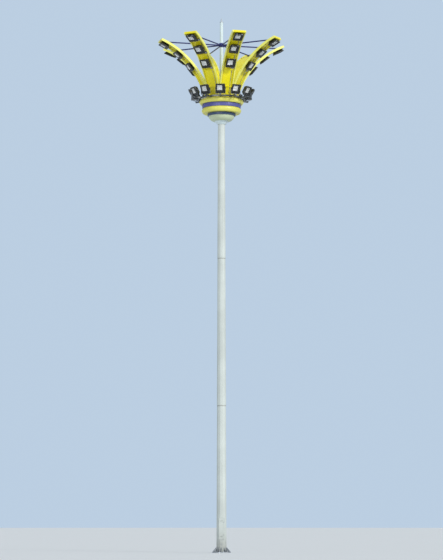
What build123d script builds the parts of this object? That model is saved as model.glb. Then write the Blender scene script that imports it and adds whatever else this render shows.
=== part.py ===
"""High mast floodlight tower with a crown of eight flared petals, in millimetres.

+Z is up and the origin is the centre of the base flange's underside. The front is -Y.
An azimuth is counted in degrees from the front, towards +X.
A three-section polygonal mast carries a banded bowl, a ring of tilting floodlights,
eight curved petals with three floodlights each, and a finial pole with a tie spider.
"""

from build123d import *
import math
import os

# ---- driving dimensions -------------------------------------------------------------
FIT_GAP = 0.3  # working gap between pieces that seat on each other

# Base flange and its gussets
FLANGE_RADIUS = 430.0
FLANGE_THICKNESS = 30.0
CABLE_HOLE_RADIUS = 150.0
ANCHOR_CIRCLE_RADIUS = 360.0
ANCHOR_HOLE_RADIUS = 18.0
GUSSET_THICKNESS = 14.0
GUSSET_HEIGHT = 220.0
GUSSET_TOE_HEIGHT = 25.0
GUSSET_TOP_WIDTH = 20.0
GUSSET_EDGE_MARGIN = 15.0

# Mast: three polygonal tubes, each slipped over the one below
MAST_SIDES = 12
MAST_FOOT_RADIUS = 240.0
MAST_TAPER = 0.0041  # radius lost for each millimetre of height
LOWER_LENGTH = 7400.0
MIDDLE_LENGTH = 7500.0
UPPER_LENGTH = 7443.0
SLIP_OVERLAP = 650.0
LOWER_WALL = 8.0
MIDDLE_WALL = 7.0
UPPER_WALL = 6.0

# Access door near the ground
DOOR_SILL_HEIGHT = 600.0
DOOR_FRAME_WIDTH = 250.0
DOOR_FRAME_HEIGHT = 1000.0
DOOR_FRAME_DEPTH = 75.0
DOOR_FRAME_WALL = 14.0
DOOR_FRAME_PROUD = 14.0
DOOR_LEDGE = 12.0
DOOR_REBATE = 10.0
DOOR_THICKNESS = 8.0
DOOR_SIDE_GAP = 2.0

# Bowl under the crown, from its neck up: heights and radii of the bands
NECK_HEIGHT = 150.0
NECK_FOOT_WALL = 26.0
NECK_TOP_RADIUS = 325.0
CREAM_HEIGHT = 240.0
CREAM_RADIUS = 610.0
CREAM_FOOT_RADIUS = 400.0
LOWER_BLUE_HEIGHT = 120.0
LOWER_BLUE_RADIUS = 660.0
LOWER_YELLOW_HEIGHT = 240.0
LOWER_YELLOW_RADIUS = 915.0
UPPER_BLUE_HEIGHT = 185.0
UPPER_BLUE_RADIUS = 900.0
UPPER_YELLOW_HEIGHT = 210.0
UPPER_YELLOW_RADIUS = 1026.0
CREAM_BULGE = 45.0
BLUE_BULGE = 8.0
YELLOW_BULGE = 55.0
BAND_SHEET = 4.0
BAND_SEAT = 90.0  # how far a band reaches in over the band below

# Deck on the mast head
DECK_THICKNESS = 12.0
DECK_RIM_MARGIN = 25.0

# Petals: curved channels, bent outwards along a circular arc
PETAL_COUNT = 8
PETAL_FIRST_AZIMUTH = 16.0
PETAL_FOOT_RADIUS = 620.0
PETAL_ARC_RADIUS = 3940.0
PETAL_FOOT_LEAN = 14.0  # degrees from the vertical at the deck
PETAL_TIP_LEAN = 68.0  # degrees from the vertical at the tip
PETAL_WIDTH = 650.0
PETAL_GAP = 24.0
PETAL_RAIL = 50.0
PETAL_WEB = 10.0
PETAL_OUTER_LIP = 75.0
PETAL_INNER_LIP = 20.0
PETAL_SHOE_THICKNESS = 12.0
PETAL_SHOE_REACH = 70.0
PETAL_RIB_COUNT = 4  # across the underside, halfway between floodlights and below them
PETAL_RIB_WIDTH = 46.0
PETAL_RIB_HEIGHT = 30.0

# Floodlight: a square housing with an off-centre window and fins on its back
LAMP_SIZE = 450.0
LAMP_FRAME_DEPTH = 42.0
LAMP_FRAME_FRONT = 70.0  # from the pivot to the front of the frame
LAMP_CORNER = 28.0  # radius of the housing's long edges
LAMP_BODY_STEP = 5.0  # how far the body stands back from the frame's sides
LAMP_BODY_DEPTH = 110.0
LAMP_BODY_TAPER = 24.0  # degrees
LAMP_WALL = 8.0
LAMP_BEZEL = 24.0  # depth of the solid front that carries the glass
LAMP_WINDOW = 300.0
LAMP_WINDOW_SHIFT = 35.0
LAMP_GLASS_THICKNESS = 6.0
LAMP_GLASS_REBATE = 14.0
LAMP_GLASS_SET_BACK = 12.0
LAMP_FIN_COUNT = 9
LAMP_FIN_PITCH = 30.0
LAMP_FIN_THICKNESS = 6.0
LAMP_FIN_DEPTH = 50.0
LAMP_FIN_LENGTH = 300.0
LAMP_FIN_ROOT = 4.0  # how deep a fin is cast into the back wall

# Floodlights on the petals
PETAL_LAMPS = 3
PETAL_LAMP_TIP_DISTANCE = 275.0
PETAL_LAMP_PITCH = 825.0
LAMP_FOOT_HEIGHT = 60.0
LAMP_FOOT_WIDTH = 50.0
LAMP_FOOT_LENGTH = 260.0
LAMP_FOOT_SPACING = 240.0

# Ring of tilting floodlights round the bowl
RING_LAMP_COUNT = 12
RING_LAMP_FIRST_AZIMUTH = -2.0
RING_LAMP_TILT = 30.0  # degrees that the window looks down
RING_LAMP_RADIUS = 1387.0
HOOP_RADIUS = 1090.0
HOOP_WIDTH = 50.0
HOOP_HEIGHT = 62.0
ARM_WIDTH = 70.0
ARM_BEARING = 120.0  # length of each arm that lies on the deck
ARM_END_MARGIN = 13.0  # beyond the stirrup
STIRRUP_WIDTH = 60.0
STIRRUP_PLATE = 8.0
STIRRUP_SIDE_GAP = 8.0
STIRRUP_SWING_GAP = 9.0
STIRRUP_LEG_TOP = 34.0
STIRRUP_CHAMFER = 16.0
PIVOT_RADIUS = 10.0
PIVOT_CLEARANCE = 0.08
PIVOT_PAD = 50.0
PIVOT_BOSS_DEPTH = 28.0  # how far in from the lamp's side the pad is rooted
PIVOT_PAD_GAP = 1.0
PIVOT_HEAD_RADIUS = 17.0
PIVOT_HEAD_HEIGHT = 10.0

# Finial pole and tie spider
FINIAL_LENGTH = 3700.0
FINIAL_FOOT_RADIUS = 98.0
FINIAL_TOP_RADIUS = 72.0
FINIAL_WALL = 6.0
FINIAL_FLANGE_RADIUS = 180.0
FINIAL_FLANGE_THICKNESS = 16.0
TIP_COLLAR_HEIGHT = 25.0
TIP_COLLAR_OVERHANG = 6.0
TIP_CONE_HEIGHT = 190.0
TIP_CONE_RADIUS = 48.0
TIP_POINT_RADIUS = 8.0
TIE_TIP_DISTANCE = 223.5  # along a petal, from its tip to where its bar meets it
TIE_BAR_RADIUS = 30.0
TIE_HUB_RADIUS = 125.0
TIE_HUB_HEIGHT = 150.0

# ---- places worked out from them ----------------------------------------------------
LOWER_FOOT_Z = FLANGE_THICKNESS
LOWER_TOP_Z = LOWER_FOOT_Z + LOWER_LENGTH
MIDDLE_FOOT_Z = LOWER_TOP_Z - SLIP_OVERLAP
MIDDLE_TOP_Z = MIDDLE_FOOT_Z + MIDDLE_LENGTH
UPPER_FOOT_Z = MIDDLE_TOP_Z - SLIP_OVERLAP
UPPER_TOP_Z = UPPER_FOOT_Z + UPPER_LENGTH
DECK_Z = UPPER_TOP_Z + DECK_THICKNESS
UPPER_YELLOW_Z = UPPER_TOP_Z - UPPER_YELLOW_HEIGHT
UPPER_BLUE_Z = UPPER_YELLOW_Z - UPPER_BLUE_HEIGHT
LOWER_YELLOW_Z = UPPER_BLUE_Z - LOWER_YELLOW_HEIGHT
LOWER_BLUE_Z = LOWER_YELLOW_Z - LOWER_BLUE_HEIGHT
CREAM_Z = LOWER_BLUE_Z - CREAM_HEIGHT
NECK_Z = CREAM_Z - NECK_HEIGHT
FACET_SHARE = math.cos(math.pi / MAST_SIDES)  # flat's distance over corner's radius

LAMP_FRAME_BACK = LAMP_FRAME_FRONT - LAMP_FRAME_DEPTH
LAMP_BACK = LAMP_FRAME_BACK - LAMP_BODY_DEPTH
STIRRUP_INNER = LAMP_SIZE / 2 + STIRRUP_SIDE_GAP
STIRRUP_OUTER = STIRRUP_INNER + STIRRUP_PLATE
LAMP_SWING_RADIUS = math.hypot(LAMP_FRAME_FRONT, LAMP_SIZE / 2)
PIVOT_HEIGHT = LAMP_SWING_RADIUS + STIRRUP_SWING_GAP + STIRRUP_PLATE
RING_PIVOT_Z = DECK_Z + HOOP_HEIGHT + PIVOT_HEIGHT
ARC_CENTRE_R = PETAL_FOOT_RADIUS + PETAL_ARC_RADIUS * math.cos(math.radians(PETAL_FOOT_LEAN))
ARC_CENTRE_Z = DECK_Z - PETAL_ARC_RADIUS * math.sin(math.radians(PETAL_FOOT_LEAN))
DECK_RADIUS = UPPER_YELLOW_RADIUS - YELLOW_BULGE - DECK_RIM_MARGIN
WEB_UNDER_RADIUS = PETAL_ARC_RADIUS - PETAL_WEB / 2
WEB_TOP_RADIUS = PETAL_ARC_RADIUS + PETAL_WEB / 2
TIE_LEAN = PETAL_TIP_LEAN - math.degrees(TIE_TIP_DISTANCE / PETAL_ARC_RADIUS)
TIE_Z = ARC_CENTRE_Z + WEB_TOP_RADIUS * math.sin(math.radians(TIE_LEAN))


# ---- helpers ------------------------------------------------------------------------
def at_azimuth(shape, azimuth):
    """Turns a shape that was made along +X so that it points to an azimuth."""
    return Rot(0, 0, azimuth - 90) * shape


def azimuths(count, first):
    """The azimuths of pieces spaced evenly round the mast."""
    return [first + index * 360 / count for index in range(count)]


def frustum(bottom_radius, top_radius, bottom_z, top_z):
    """A many-sided tapered solid with a flat on each main axis."""
    turn = 180 / MAST_SIDES
    bottom = Pos(0, 0, bottom_z) * RegularPolygon(bottom_radius, MAST_SIDES, rotation=turn)
    top = Pos(0, 0, top_z) * RegularPolygon(top_radius, MAST_SIDES, rotation=turn)
    return loft([bottom, top], ruled=True)


def mast_radius(offset, z):
    """Corner radius of the mast's tapered line, moved out by an offset, at a height."""
    return MAST_FOOT_RADIUS - MAST_TAPER * (z - LOWER_FOOT_Z) + offset


def mast_tube(offset, wall, bottom_z, top_z):
    """One mast section: its outer faces lie an offset outside the lower section's line."""
    corner_wall = wall / FACET_SHARE
    outer = frustum(mast_radius(offset, bottom_z), mast_radius(offset, top_z), bottom_z, top_z)
    inset = offset - corner_wall
    inner = frustum(mast_radius(inset, bottom_z), mast_radius(inset, top_z), bottom_z, top_z)
    return outer - inner


MIDDLE_OFFSET = (MIDDLE_WALL + FIT_GAP) / FACET_SHARE
UPPER_OFFSET = MIDDLE_OFFSET + (UPPER_WALL + FIT_GAP) / FACET_SHARE


def ring(inner_radius, outer_radius, bottom_z, height):
    """A plain round ring of rectangular section."""
    middle = Pos(0, 0, bottom_z + height / 2)
    return middle * (Cylinder(outer_radius, height) - Cylinder(inner_radius, height))


# ---- base ---------------------------------------------------------------------------
def base_flange():
    plate = ring(CABLE_HOLE_RADIUS, FLANGE_RADIUS, 0, FLANGE_THICKNESS)
    hole = Pos(ANCHOR_CIRCLE_RADIUS, 0, FLANGE_THICKNESS / 2) * Cylinder(
        ANCHOR_HOLE_RADIUS, FLANGE_THICKNESS
    )
    holes = [at_azimuth(hole, a) for a in azimuths(MAST_SIDES, 180 / MAST_SIDES)]
    return plate - holes


def base_gussets():
    """Triangular plates between the anchor holes, one against each flat of the mast."""
    foot = FLANGE_THICKNESS
    top = foot + GUSSET_HEIGHT
    foot_r = mast_radius(0, foot) * FACET_SHARE + FIT_GAP
    top_r = mast_radius(0, top) * FACET_SHARE + FIT_GAP
    rim = FLANGE_RADIUS - GUSSET_EDGE_MARGIN
    outline = Polyline(
        (foot_r, foot),
        (rim, foot),
        (rim, foot + GUSSET_TOE_HEIGHT),
        (top_r + GUSSET_TOP_WIDTH, top),
        (top_r, top),
        close=True,
    )
    gusset = extrude(Plane.XZ * make_face(outline), GUSSET_THICKNESS / 2, both=True)
    return [at_azimuth(gusset, a) for a in azimuths(MAST_SIDES, 0)]


# ---- mast ---------------------------------------------------------------------------
def door_face_y():
    """The mast's front face at the door's sill, where it stands furthest forward."""
    return -mast_radius(0, DOOR_SILL_HEIGHT) * FACET_SHARE


def door_block(width, height, front, back):
    """A block in the door's place, between two distances in front of the mast's face."""
    y_front = door_face_y() - front
    y_back = door_face_y() - back
    centre_z = DOOR_SILL_HEIGHT + DOOR_FRAME_HEIGHT / 2
    return Pos(0, (y_front + y_back) / 2, centre_z) * Box(width, y_back - y_front, height)


def mast_lower():
    tube = mast_tube(0, LOWER_WALL, LOWER_FOOT_Z, LOWER_TOP_Z)
    gap = 2 * FIT_GAP
    opening = door_block(
        DOOR_FRAME_WIDTH + gap,
        DOOR_FRAME_HEIGHT + gap,
        DOOR_FRAME_PROUD,
        DOOR_FRAME_PROUD - DOOR_FRAME_DEPTH,
    )
    return tube - opening


def door_frame():
    back = DOOR_FRAME_PROUD - DOOR_FRAME_DEPTH
    leaf_width = DOOR_FRAME_WIDTH - 2 * DOOR_FRAME_WALL
    leaf_height = DOOR_FRAME_HEIGHT - 2 * DOOR_FRAME_WALL
    outer = door_block(DOOR_FRAME_WIDTH, DOOR_FRAME_HEIGHT, DOOR_FRAME_PROUD, back)
    rebate = door_block(
        leaf_width, leaf_height, DOOR_FRAME_PROUD, DOOR_FRAME_PROUD - DOOR_REBATE
    )
    through = door_block(
        leaf_width - 2 * DOOR_LEDGE, leaf_height - 2 * DOOR_LEDGE, DOOR_FRAME_PROUD, back
    )
    return outer - rebate - through


def access_door():
    """The flat leaf, which closes on the frame's ledge."""
    shut = DOOR_FRAME_PROUD - DOOR_REBATE + FIT_GAP
    side = 2 * (DOOR_FRAME_WALL + DOOR_SIDE_GAP)
    return door_block(
        DOOR_FRAME_WIDTH - side, DOOR_FRAME_HEIGHT - side, shut + DOOR_THICKNESS, shut
    )


# ---- bowl ---------------------------------------------------------------------------
def band_solid(inner_radius, foot_radius, top_radius, bulge, bottom_z, height):
    """A solid ring whose outside swells by a bulge between its foot and its top."""
    low = Vector(foot_radius, bottom_z)
    high = Vector(top_radius, bottom_z + height)
    along = (high - low).normalized()
    crest = (low + high) / 2 + Vector(along.Y, -along.X) * bulge
    outside = ThreePointArc(low, crest, high)
    inside = Polyline(high, (inner_radius, high.Y), (inner_radius, low.Y), low)
    return revolve(Plane.XZ * make_face([outside, inside]), Axis.Z)


def bowl_band(inner_radius, foot_radius, top_radius, bulge, bottom_z, height):
    """A rolled sheet band: a skin with a flange above and below, open towards the mast."""
    whole = band_solid(inner_radius, foot_radius, top_radius, bulge, bottom_z, height)
    inside = band_solid(
        inner_radius - BAND_SHEET,
        foot_radius - BAND_SHEET,
        top_radius - BAND_SHEET,
        bulge,
        bottom_z + BAND_SHEET,
        height - 2 * BAND_SHEET,
    )
    return whole - inside


def neck_collar():
    bore = mast_radius(UPPER_OFFSET, NECK_Z) + FIT_GAP
    outline = Polyline(
        (bore, NECK_Z),
        (bore + NECK_FOOT_WALL, NECK_Z),
        (NECK_TOP_RADIUS, CREAM_Z),
        (bore, CREAM_Z),
        close=True,
    )
    return revolve(Plane.XZ * make_face(outline), Axis.Z)


def cream_band():
    inner = NECK_TOP_RADIUS - BAND_SEAT
    return bowl_band(
        inner, CREAM_FOOT_RADIUS, CREAM_RADIUS, CREAM_BULGE, CREAM_Z, CREAM_HEIGHT
    )


def lower_blue_band():
    inner = CREAM_RADIUS - BAND_SEAT
    edge = LOWER_BLUE_RADIUS - BLUE_BULGE
    return bowl_band(inner, edge, edge, BLUE_BULGE, LOWER_BLUE_Z, LOWER_BLUE_HEIGHT)


def lower_yellow_band():
    inner = LOWER_BLUE_RADIUS - BLUE_BULGE - BAND_SEAT
    edge = LOWER_YELLOW_RADIUS - YELLOW_BULGE
    return bowl_band(inner, edge, edge, YELLOW_BULGE, LOWER_YELLOW_Z, LOWER_YELLOW_HEIGHT)


def upper_blue_band():
    inner = LOWER_YELLOW_RADIUS - YELLOW_BULGE - BAND_SEAT
    edge = UPPER_BLUE_RADIUS - BLUE_BULGE
    return bowl_band(inner, edge, edge, BLUE_BULGE, UPPER_BLUE_Z, UPPER_BLUE_HEIGHT)


def upper_yellow_band():
    inner = UPPER_BLUE_RADIUS - BLUE_BULGE - BAND_SEAT
    edge = UPPER_YELLOW_RADIUS - YELLOW_BULGE
    return bowl_band(inner, edge, edge, YELLOW_BULGE, UPPER_YELLOW_Z, UPPER_YELLOW_HEIGHT)


def deck_plate():
    return Pos(0, 0, DECK_Z - DECK_THICKNESS / 2) * Cylinder(DECK_RADIUS, DECK_THICKNESS)


# ---- petals -------------------------------------------------------------------------
def arc_point(radius, lean):
    """A point beside the petal's arc, at a distance from its centre, as (radius, height)."""
    angle = math.radians(lean)
    return (ARC_CENTRE_R - radius * math.cos(angle), ARC_CENTRE_Z + radius * math.sin(angle))


def arc_band(small_radius, large_radius, foot_lean, tip_lean, half_width):
    """A curved slab along the petal's arc, between two radii and two leans."""
    middle = (foot_lean + tip_lean) / 2
    under = ThreePointArc(
        arc_point(small_radius, foot_lean),
        arc_point(small_radius, middle),
        arc_point(small_radius, tip_lean),
    )
    over = ThreePointArc(
        arc_point(large_radius, tip_lean),
        arc_point(large_radius, middle),
        arc_point(large_radius, foot_lean),
    )
    tip = Line(arc_point(small_radius, tip_lean), arc_point(large_radius, tip_lean))
    foot = Line(arc_point(large_radius, foot_lean), arc_point(small_radius, foot_lean))
    return extrude(Plane.XZ * make_face([under, tip, over, foot]), half_width, both=True)


def crown_sector(inset):
    """The wedge of space that one petal may fill, each side moved in by an inset."""
    half_turn = math.pi / PETAL_COUNT
    apex = inset / math.sin(half_turn)
    reach = ARC_CENTRE_R
    half = (reach - apex) * math.tan(half_turn)
    wedge = make_face(Polyline((apex, 0), (reach, -half), (reach, half), close=True))
    height = 2 * PETAL_ARC_RADIUS
    return Pos(0, 0, DECK_Z) * extrude(wedge, height)


def petal_ribs(sector):
    """Cross ribs under the web, from rail to rail, one pitch of the floodlights apart."""
    width = math.degrees(PETAL_RIB_WIDTH / PETAL_ARC_RADIUS)
    ribs = []
    for index in range(PETAL_RIB_COUNT):
        distance = PETAL_LAMP_TIP_DISTANCE + (index + 0.5) * PETAL_LAMP_PITCH
        lean = PETAL_TIP_LEAN - math.degrees(distance / PETAL_ARC_RADIUS)
        top = WEB_UNDER_RADIUS - PETAL_RIB_HEIGHT
        rib = arc_band(top, PETAL_ARC_RADIUS, lean - width / 2, lean + width / 2, PETAL_WIDTH / 2)
        ribs.append(rib & sector)
    return ribs


def petal():
    """A channel petal: rails along both edges and the tip, a thin web, ribs and a shoe."""
    below = PETAL_FOOT_LEAN - math.degrees(PETAL_SHOE_REACH / PETAL_ARC_RADIUS)
    under = WEB_UNDER_RADIUS - PETAL_OUTER_LIP
    over = WEB_TOP_RADIUS + PETAL_INNER_LIP
    half = PETAL_WIDTH / 2
    rail_lean = math.degrees(PETAL_RAIL / PETAL_ARC_RADIUS)
    pocket_tip = PETAL_TIP_LEAN - rail_lean
    sector = crown_sector(PETAL_GAP / 2)
    pocket_sector = crown_sector(PETAL_GAP / 2 + PETAL_RAIL)
    body = arc_band(under, over, below, PETAL_TIP_LEAN, half) & sector
    pockets = [
        arc_band(under, WEB_UNDER_RADIUS, below, pocket_tip, half - PETAL_RAIL) & pocket_sector,
        arc_band(WEB_TOP_RADIUS, over, below, pocket_tip, half - PETAL_RAIL) & pocket_sector,
    ]
    inner = PETAL_FOOT_RADIUS - PETAL_SHOE_REACH
    outer = PETAL_FOOT_RADIUS + PETAL_OUTER_LIP + PETAL_SHOE_REACH
    shoe = Pos((inner + outer) / 2, 0, DECK_Z + PETAL_SHOE_THICKNESS / 2) * Box(
        outer - inner, PETAL_WIDTH, PETAL_SHOE_THICKNESS
    )
    rib_sector = crown_sector(PETAL_GAP / 2 + PETAL_RAIL / 2)
    return body - pockets + petal_ribs(rib_sector) + (shoe & sector)


# ---- floodlights --------------------------------------------------------------------
def window_block(size, front, back):
    """A block behind the window, which sits up and to the left of the housing's middle."""
    return Pos((front + back) / 2, -LAMP_WINDOW_SHIFT, LAMP_WINDOW_SHIFT) * Box(
        front - back, size, size
    )


def tapered_block(size, start, depth, taper):
    """A square block that narrows backwards from a plane across the lamp's axis."""
    front = size / 2
    back = front - depth * math.tan(math.radians(taper))
    end = start - depth
    side = make_face(Polyline((start, -front), (start, front), (end, back), (end, -back), close=True))
    seen_from_above = extrude(Plane.XY * side, front, both=True)
    seen_from_the_side = extrude(Plane.XZ * side, front, both=True)
    return seen_from_above & seen_from_the_side


def long_edges(block):
    """The four edges of a housing block that run from its front to its back."""
    return block.edges().filter_by(lambda edge: abs(edge.position_at(0).X - edge.position_at(1).X) > 1)


def lamp_housing():
    """Hollow casting: a bezel, a tapered body and fins on its back. It looks along +X."""
    frame = Pos((LAMP_FRAME_FRONT + LAMP_FRAME_BACK) / 2, 0, 0) * Box(
        LAMP_FRAME_DEPTH, LAMP_SIZE, LAMP_SIZE
    )
    frame = fillet(long_edges(frame), LAMP_CORNER)
    body_size = LAMP_SIZE - 2 * LAMP_BODY_STEP
    body = tapered_block(body_size, LAMP_FRAME_BACK, LAMP_BODY_DEPTH, LAMP_BODY_TAPER)
    body = fillet(long_edges(body), LAMP_CORNER)
    fin = Pos(LAMP_BACK - LAMP_FIN_DEPTH / 2 + LAMP_FIN_ROOT / 2, 0, 0) * Box(
        LAMP_FIN_DEPTH + LAMP_FIN_ROOT, LAMP_FIN_THICKNESS, LAMP_FIN_LENGTH
    )
    middle = (LAMP_FIN_COUNT - 1) / 2
    fins = [Pos(0, (i - middle) * LAMP_FIN_PITCH, 0) * fin for i in range(LAMP_FIN_COUNT)]
    glass_front = LAMP_FRAME_FRONT - LAMP_GLASS_SET_BACK
    glass_back = glass_front - LAMP_GLASS_THICKNESS
    mouth = window_block(LAMP_WINDOW, LAMP_FRAME_FRONT, glass_front)
    slot = window_block(
        LAMP_WINDOW + 2 * (LAMP_GLASS_REBATE + FIT_GAP), glass_front + FIT_GAP, glass_back - FIT_GAP
    )
    throat = window_block(LAMP_WINDOW, glass_back, LAMP_FRAME_FRONT - LAMP_BEZEL)
    inner_size = LAMP_SIZE - 2 * LAMP_WALL
    pocket_start = LAMP_FRAME_FRONT - LAMP_BEZEL
    pocket = Pos((pocket_start + LAMP_FRAME_BACK) / 2, 0, 0) * Box(
        pocket_start - LAMP_FRAME_BACK, inner_size, inner_size
    )
    hollow_size = body_size - 2 * LAMP_WALL
    hollow_depth = LAMP_BODY_DEPTH - LAMP_WALL
    hollow = tapered_block(hollow_size, LAMP_FRAME_BACK, hollow_depth, LAMP_BODY_TAPER)
    return frame + body + fins - mouth - slot - throat - pocket - hollow


def lamp_glass():
    front = LAMP_FRAME_FRONT - LAMP_GLASS_SET_BACK
    return window_block(
        LAMP_WINDOW + 2 * LAMP_GLASS_REBATE, front, front - LAMP_GLASS_THICKNESS
    )


def lamp_feet():
    """Two cross feet that hold a petal's lamp off the web, clear of the fins."""
    half_chord = (LAMP_FOOT_SPACING + LAMP_FOOT_WIDTH) / 2
    rise = WEB_UNDER_RADIUS - math.sqrt(WEB_UNDER_RADIUS**2 - half_chord**2)
    length = LAMP_FOOT_HEIGHT - rise - FIT_GAP
    foot = Pos(LAMP_BACK - length / 2, 0, 0) * Box(length, LAMP_FOOT_LENGTH, LAMP_FOOT_WIDTH)
    return [Pos(0, 0, side * LAMP_FOOT_SPACING / 2) * foot for side in (-1, 1)]


def pivot_bolts():
    """A pad on each side of the housing, the pivot through the stirrup, and its head."""
    pad_start = LAMP_SIZE / 2 - PIVOT_BOSS_DEPTH
    pad_end = STIRRUP_INNER - PIVOT_PAD_GAP
    pin_end = STIRRUP_OUTER + PIVOT_CLEARANCE
    pad = Pos(0, (pad_start + pad_end) / 2, 0) * Box(PIVOT_PAD, pad_end - pad_start, PIVOT_PAD)
    across = Plane(origin=(0, pad_end, 0), x_dir=(1, 0, 0), z_dir=(0, 1, 0))
    pin = extrude(across * Circle(PIVOT_RADIUS), pin_end - pad_end)
    outside = Plane(origin=(0, pin_end, 0), x_dir=(1, 0, 0), z_dir=(0, 1, 0))
    head = extrude(outside * RegularPolygon(PIVOT_HEAD_RADIUS, 6), PIVOT_HEAD_HEIGHT)
    one_side = pad + pin + head
    return [one_side, mirror(one_side, Plane.XZ)]


def stirrup():
    """A bent plate that stands on the hoop and holds one lamp between its legs."""
    foot = -PIVOT_HEIGHT
    outer = Pos(0, 0, (STIRRUP_LEG_TOP + foot) / 2) * Box(
        STIRRUP_WIDTH, 2 * STIRRUP_OUTER, STIRRUP_LEG_TOP - foot
    )
    ends = outer.edges().filter_by(Axis.Y).group_by(Axis.Z)[-1]
    legs = chamfer(ends, STIRRUP_CHAMFER)
    inside = Pos(0, 0, (STIRRUP_LEG_TOP + foot + STIRRUP_PLATE) / 2) * Box(
        STIRRUP_WIDTH, 2 * STIRRUP_INNER, STIRRUP_LEG_TOP - foot - STIRRUP_PLATE
    )
    holes = Rot(90, 0, 0) * Cylinder(PIVOT_RADIUS + PIVOT_CLEARANCE, 2 * STIRRUP_OUTER)
    return legs - inside - holes


def on_ring(shape, azimuth):
    """Puts a shape made about a lamp's pivot in its place on the ring."""
    return at_azimuth(Pos(RING_LAMP_RADIUS, 0, RING_PIVOT_Z) * shape, azimuth)


def ring_lamp(azimuth):
    tilt = Rot(0, RING_LAMP_TILT, 0)
    housing = tilt * (lamp_housing() + pivot_bolts())
    return [on_ring(housing, azimuth), on_ring(tilt * lamp_glass(), azimuth)]


def petal_lamps(azimuth):
    """Three lamps on one petal, each square to the web where it stands."""
    pieces = []
    housing = lamp_housing() + lamp_feet()
    glass = lamp_glass()
    pivot_radius = WEB_UNDER_RADIUS - LAMP_FOOT_HEIGHT + LAMP_BACK
    for index in range(PETAL_LAMPS):
        distance = PETAL_LAMP_TIP_DISTANCE + index * PETAL_LAMP_PITCH
        lean = PETAL_TIP_LEAN - math.degrees(distance / PETAL_ARC_RADIUS)
        r, z = arc_point(pivot_radius, lean)
        place = Pos(r, 0, z) * Rot(0, lean, 0)
        pieces += [at_azimuth(place * housing, azimuth), at_azimuth(place * glass, azimuth)]
    return pieces


def lamp_ring():
    """Radial arms that are bolted down on the deck, with a hoop that stiffens them."""
    start = DECK_RADIUS - ARM_BEARING
    end = RING_LAMP_RADIUS + STIRRUP_WIDTH / 2 + ARM_END_MARGIN
    arm = Pos((start + end) / 2, 0, DECK_Z + HOOP_HEIGHT / 2) * Box(
        end - start, ARM_WIDTH, HOOP_HEIGHT
    )
    hoop = ring(HOOP_RADIUS - HOOP_WIDTH / 2, HOOP_RADIUS + HOOP_WIDTH / 2, DECK_Z, HOOP_HEIGHT)
    arms = [at_azimuth(arm, a) for a in azimuths(RING_LAMP_COUNT, RING_LAMP_FIRST_AZIMUTH)]
    return hoop + arms


# ---- finial and tie spider ----------------------------------------------------------
def finial_radius(height):
    """Outside radius of the finial pole at a height above the deck."""
    share = height / FINIAL_LENGTH
    return FINIAL_FOOT_RADIUS + (FINIAL_TOP_RADIUS - FINIAL_FOOT_RADIUS) * share


def finial_pole():
    top = DECK_Z + FINIAL_LENGTH
    flange_top = DECK_Z + FINIAL_FLANGE_THICKNESS
    outline = Polyline(
        (FINIAL_FOOT_RADIUS - FINIAL_WALL, DECK_Z),
        (FINIAL_FLANGE_RADIUS, DECK_Z),
        (FINIAL_FLANGE_RADIUS, flange_top),
        (finial_radius(FINIAL_FLANGE_THICKNESS), flange_top),
        (FINIAL_TOP_RADIUS, top),
        (FINIAL_TOP_RADIUS - FINIAL_WALL, top),
        close=True,
    )
    return revolve(Plane.XZ * make_face(outline), Axis.Z)


def lightning_tip():
    foot = DECK_Z + FINIAL_LENGTH
    shoulder = foot + TIP_COLLAR_HEIGHT
    collar = FINIAL_TOP_RADIUS + TIP_COLLAR_OVERHANG
    outline = Polyline(
        (0, foot),
        (collar, foot),
        (collar, shoulder),
        (TIP_CONE_RADIUS, shoulder),
        (TIP_POINT_RADIUS, shoulder + TIP_CONE_HEIGHT),
        (0, shoulder + TIP_CONE_HEIGHT),
        close=True,
    )
    return revolve(Plane.XZ * make_face(outline), Axis.Z)


def tie_spider():
    """A hub on the finial with one bar to each petal, cut to the web's curve."""
    hub_foot = TIE_Z - TIE_HUB_HEIGHT / 2
    bore = finial_radius(hub_foot - DECK_Z) + FIT_GAP
    hub = ring(bore, TIE_HUB_RADIUS, hub_foot, TIE_HUB_HEIGHT)
    start = (bore + TIE_HUB_RADIUS) / 2
    reach = ARC_CENTRE_R - start
    bar = Pos(start + reach / 2, 0, TIE_Z) * Rot(0, 90, 0) * Cylinder(TIE_BAR_RADIUS, reach)
    web_side = Pos(ARC_CENTRE_R, 0, ARC_CENTRE_Z) * Rot(90, 0, 0) * Cylinder(
        WEB_TOP_RADIUS + FIT_GAP, PETAL_WIDTH
    )
    bar = bar - web_side
    return hub + [at_azimuth(bar, a) for a in azimuths(PETAL_COUNT, PETAL_FIRST_AZIMUTH)]


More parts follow.
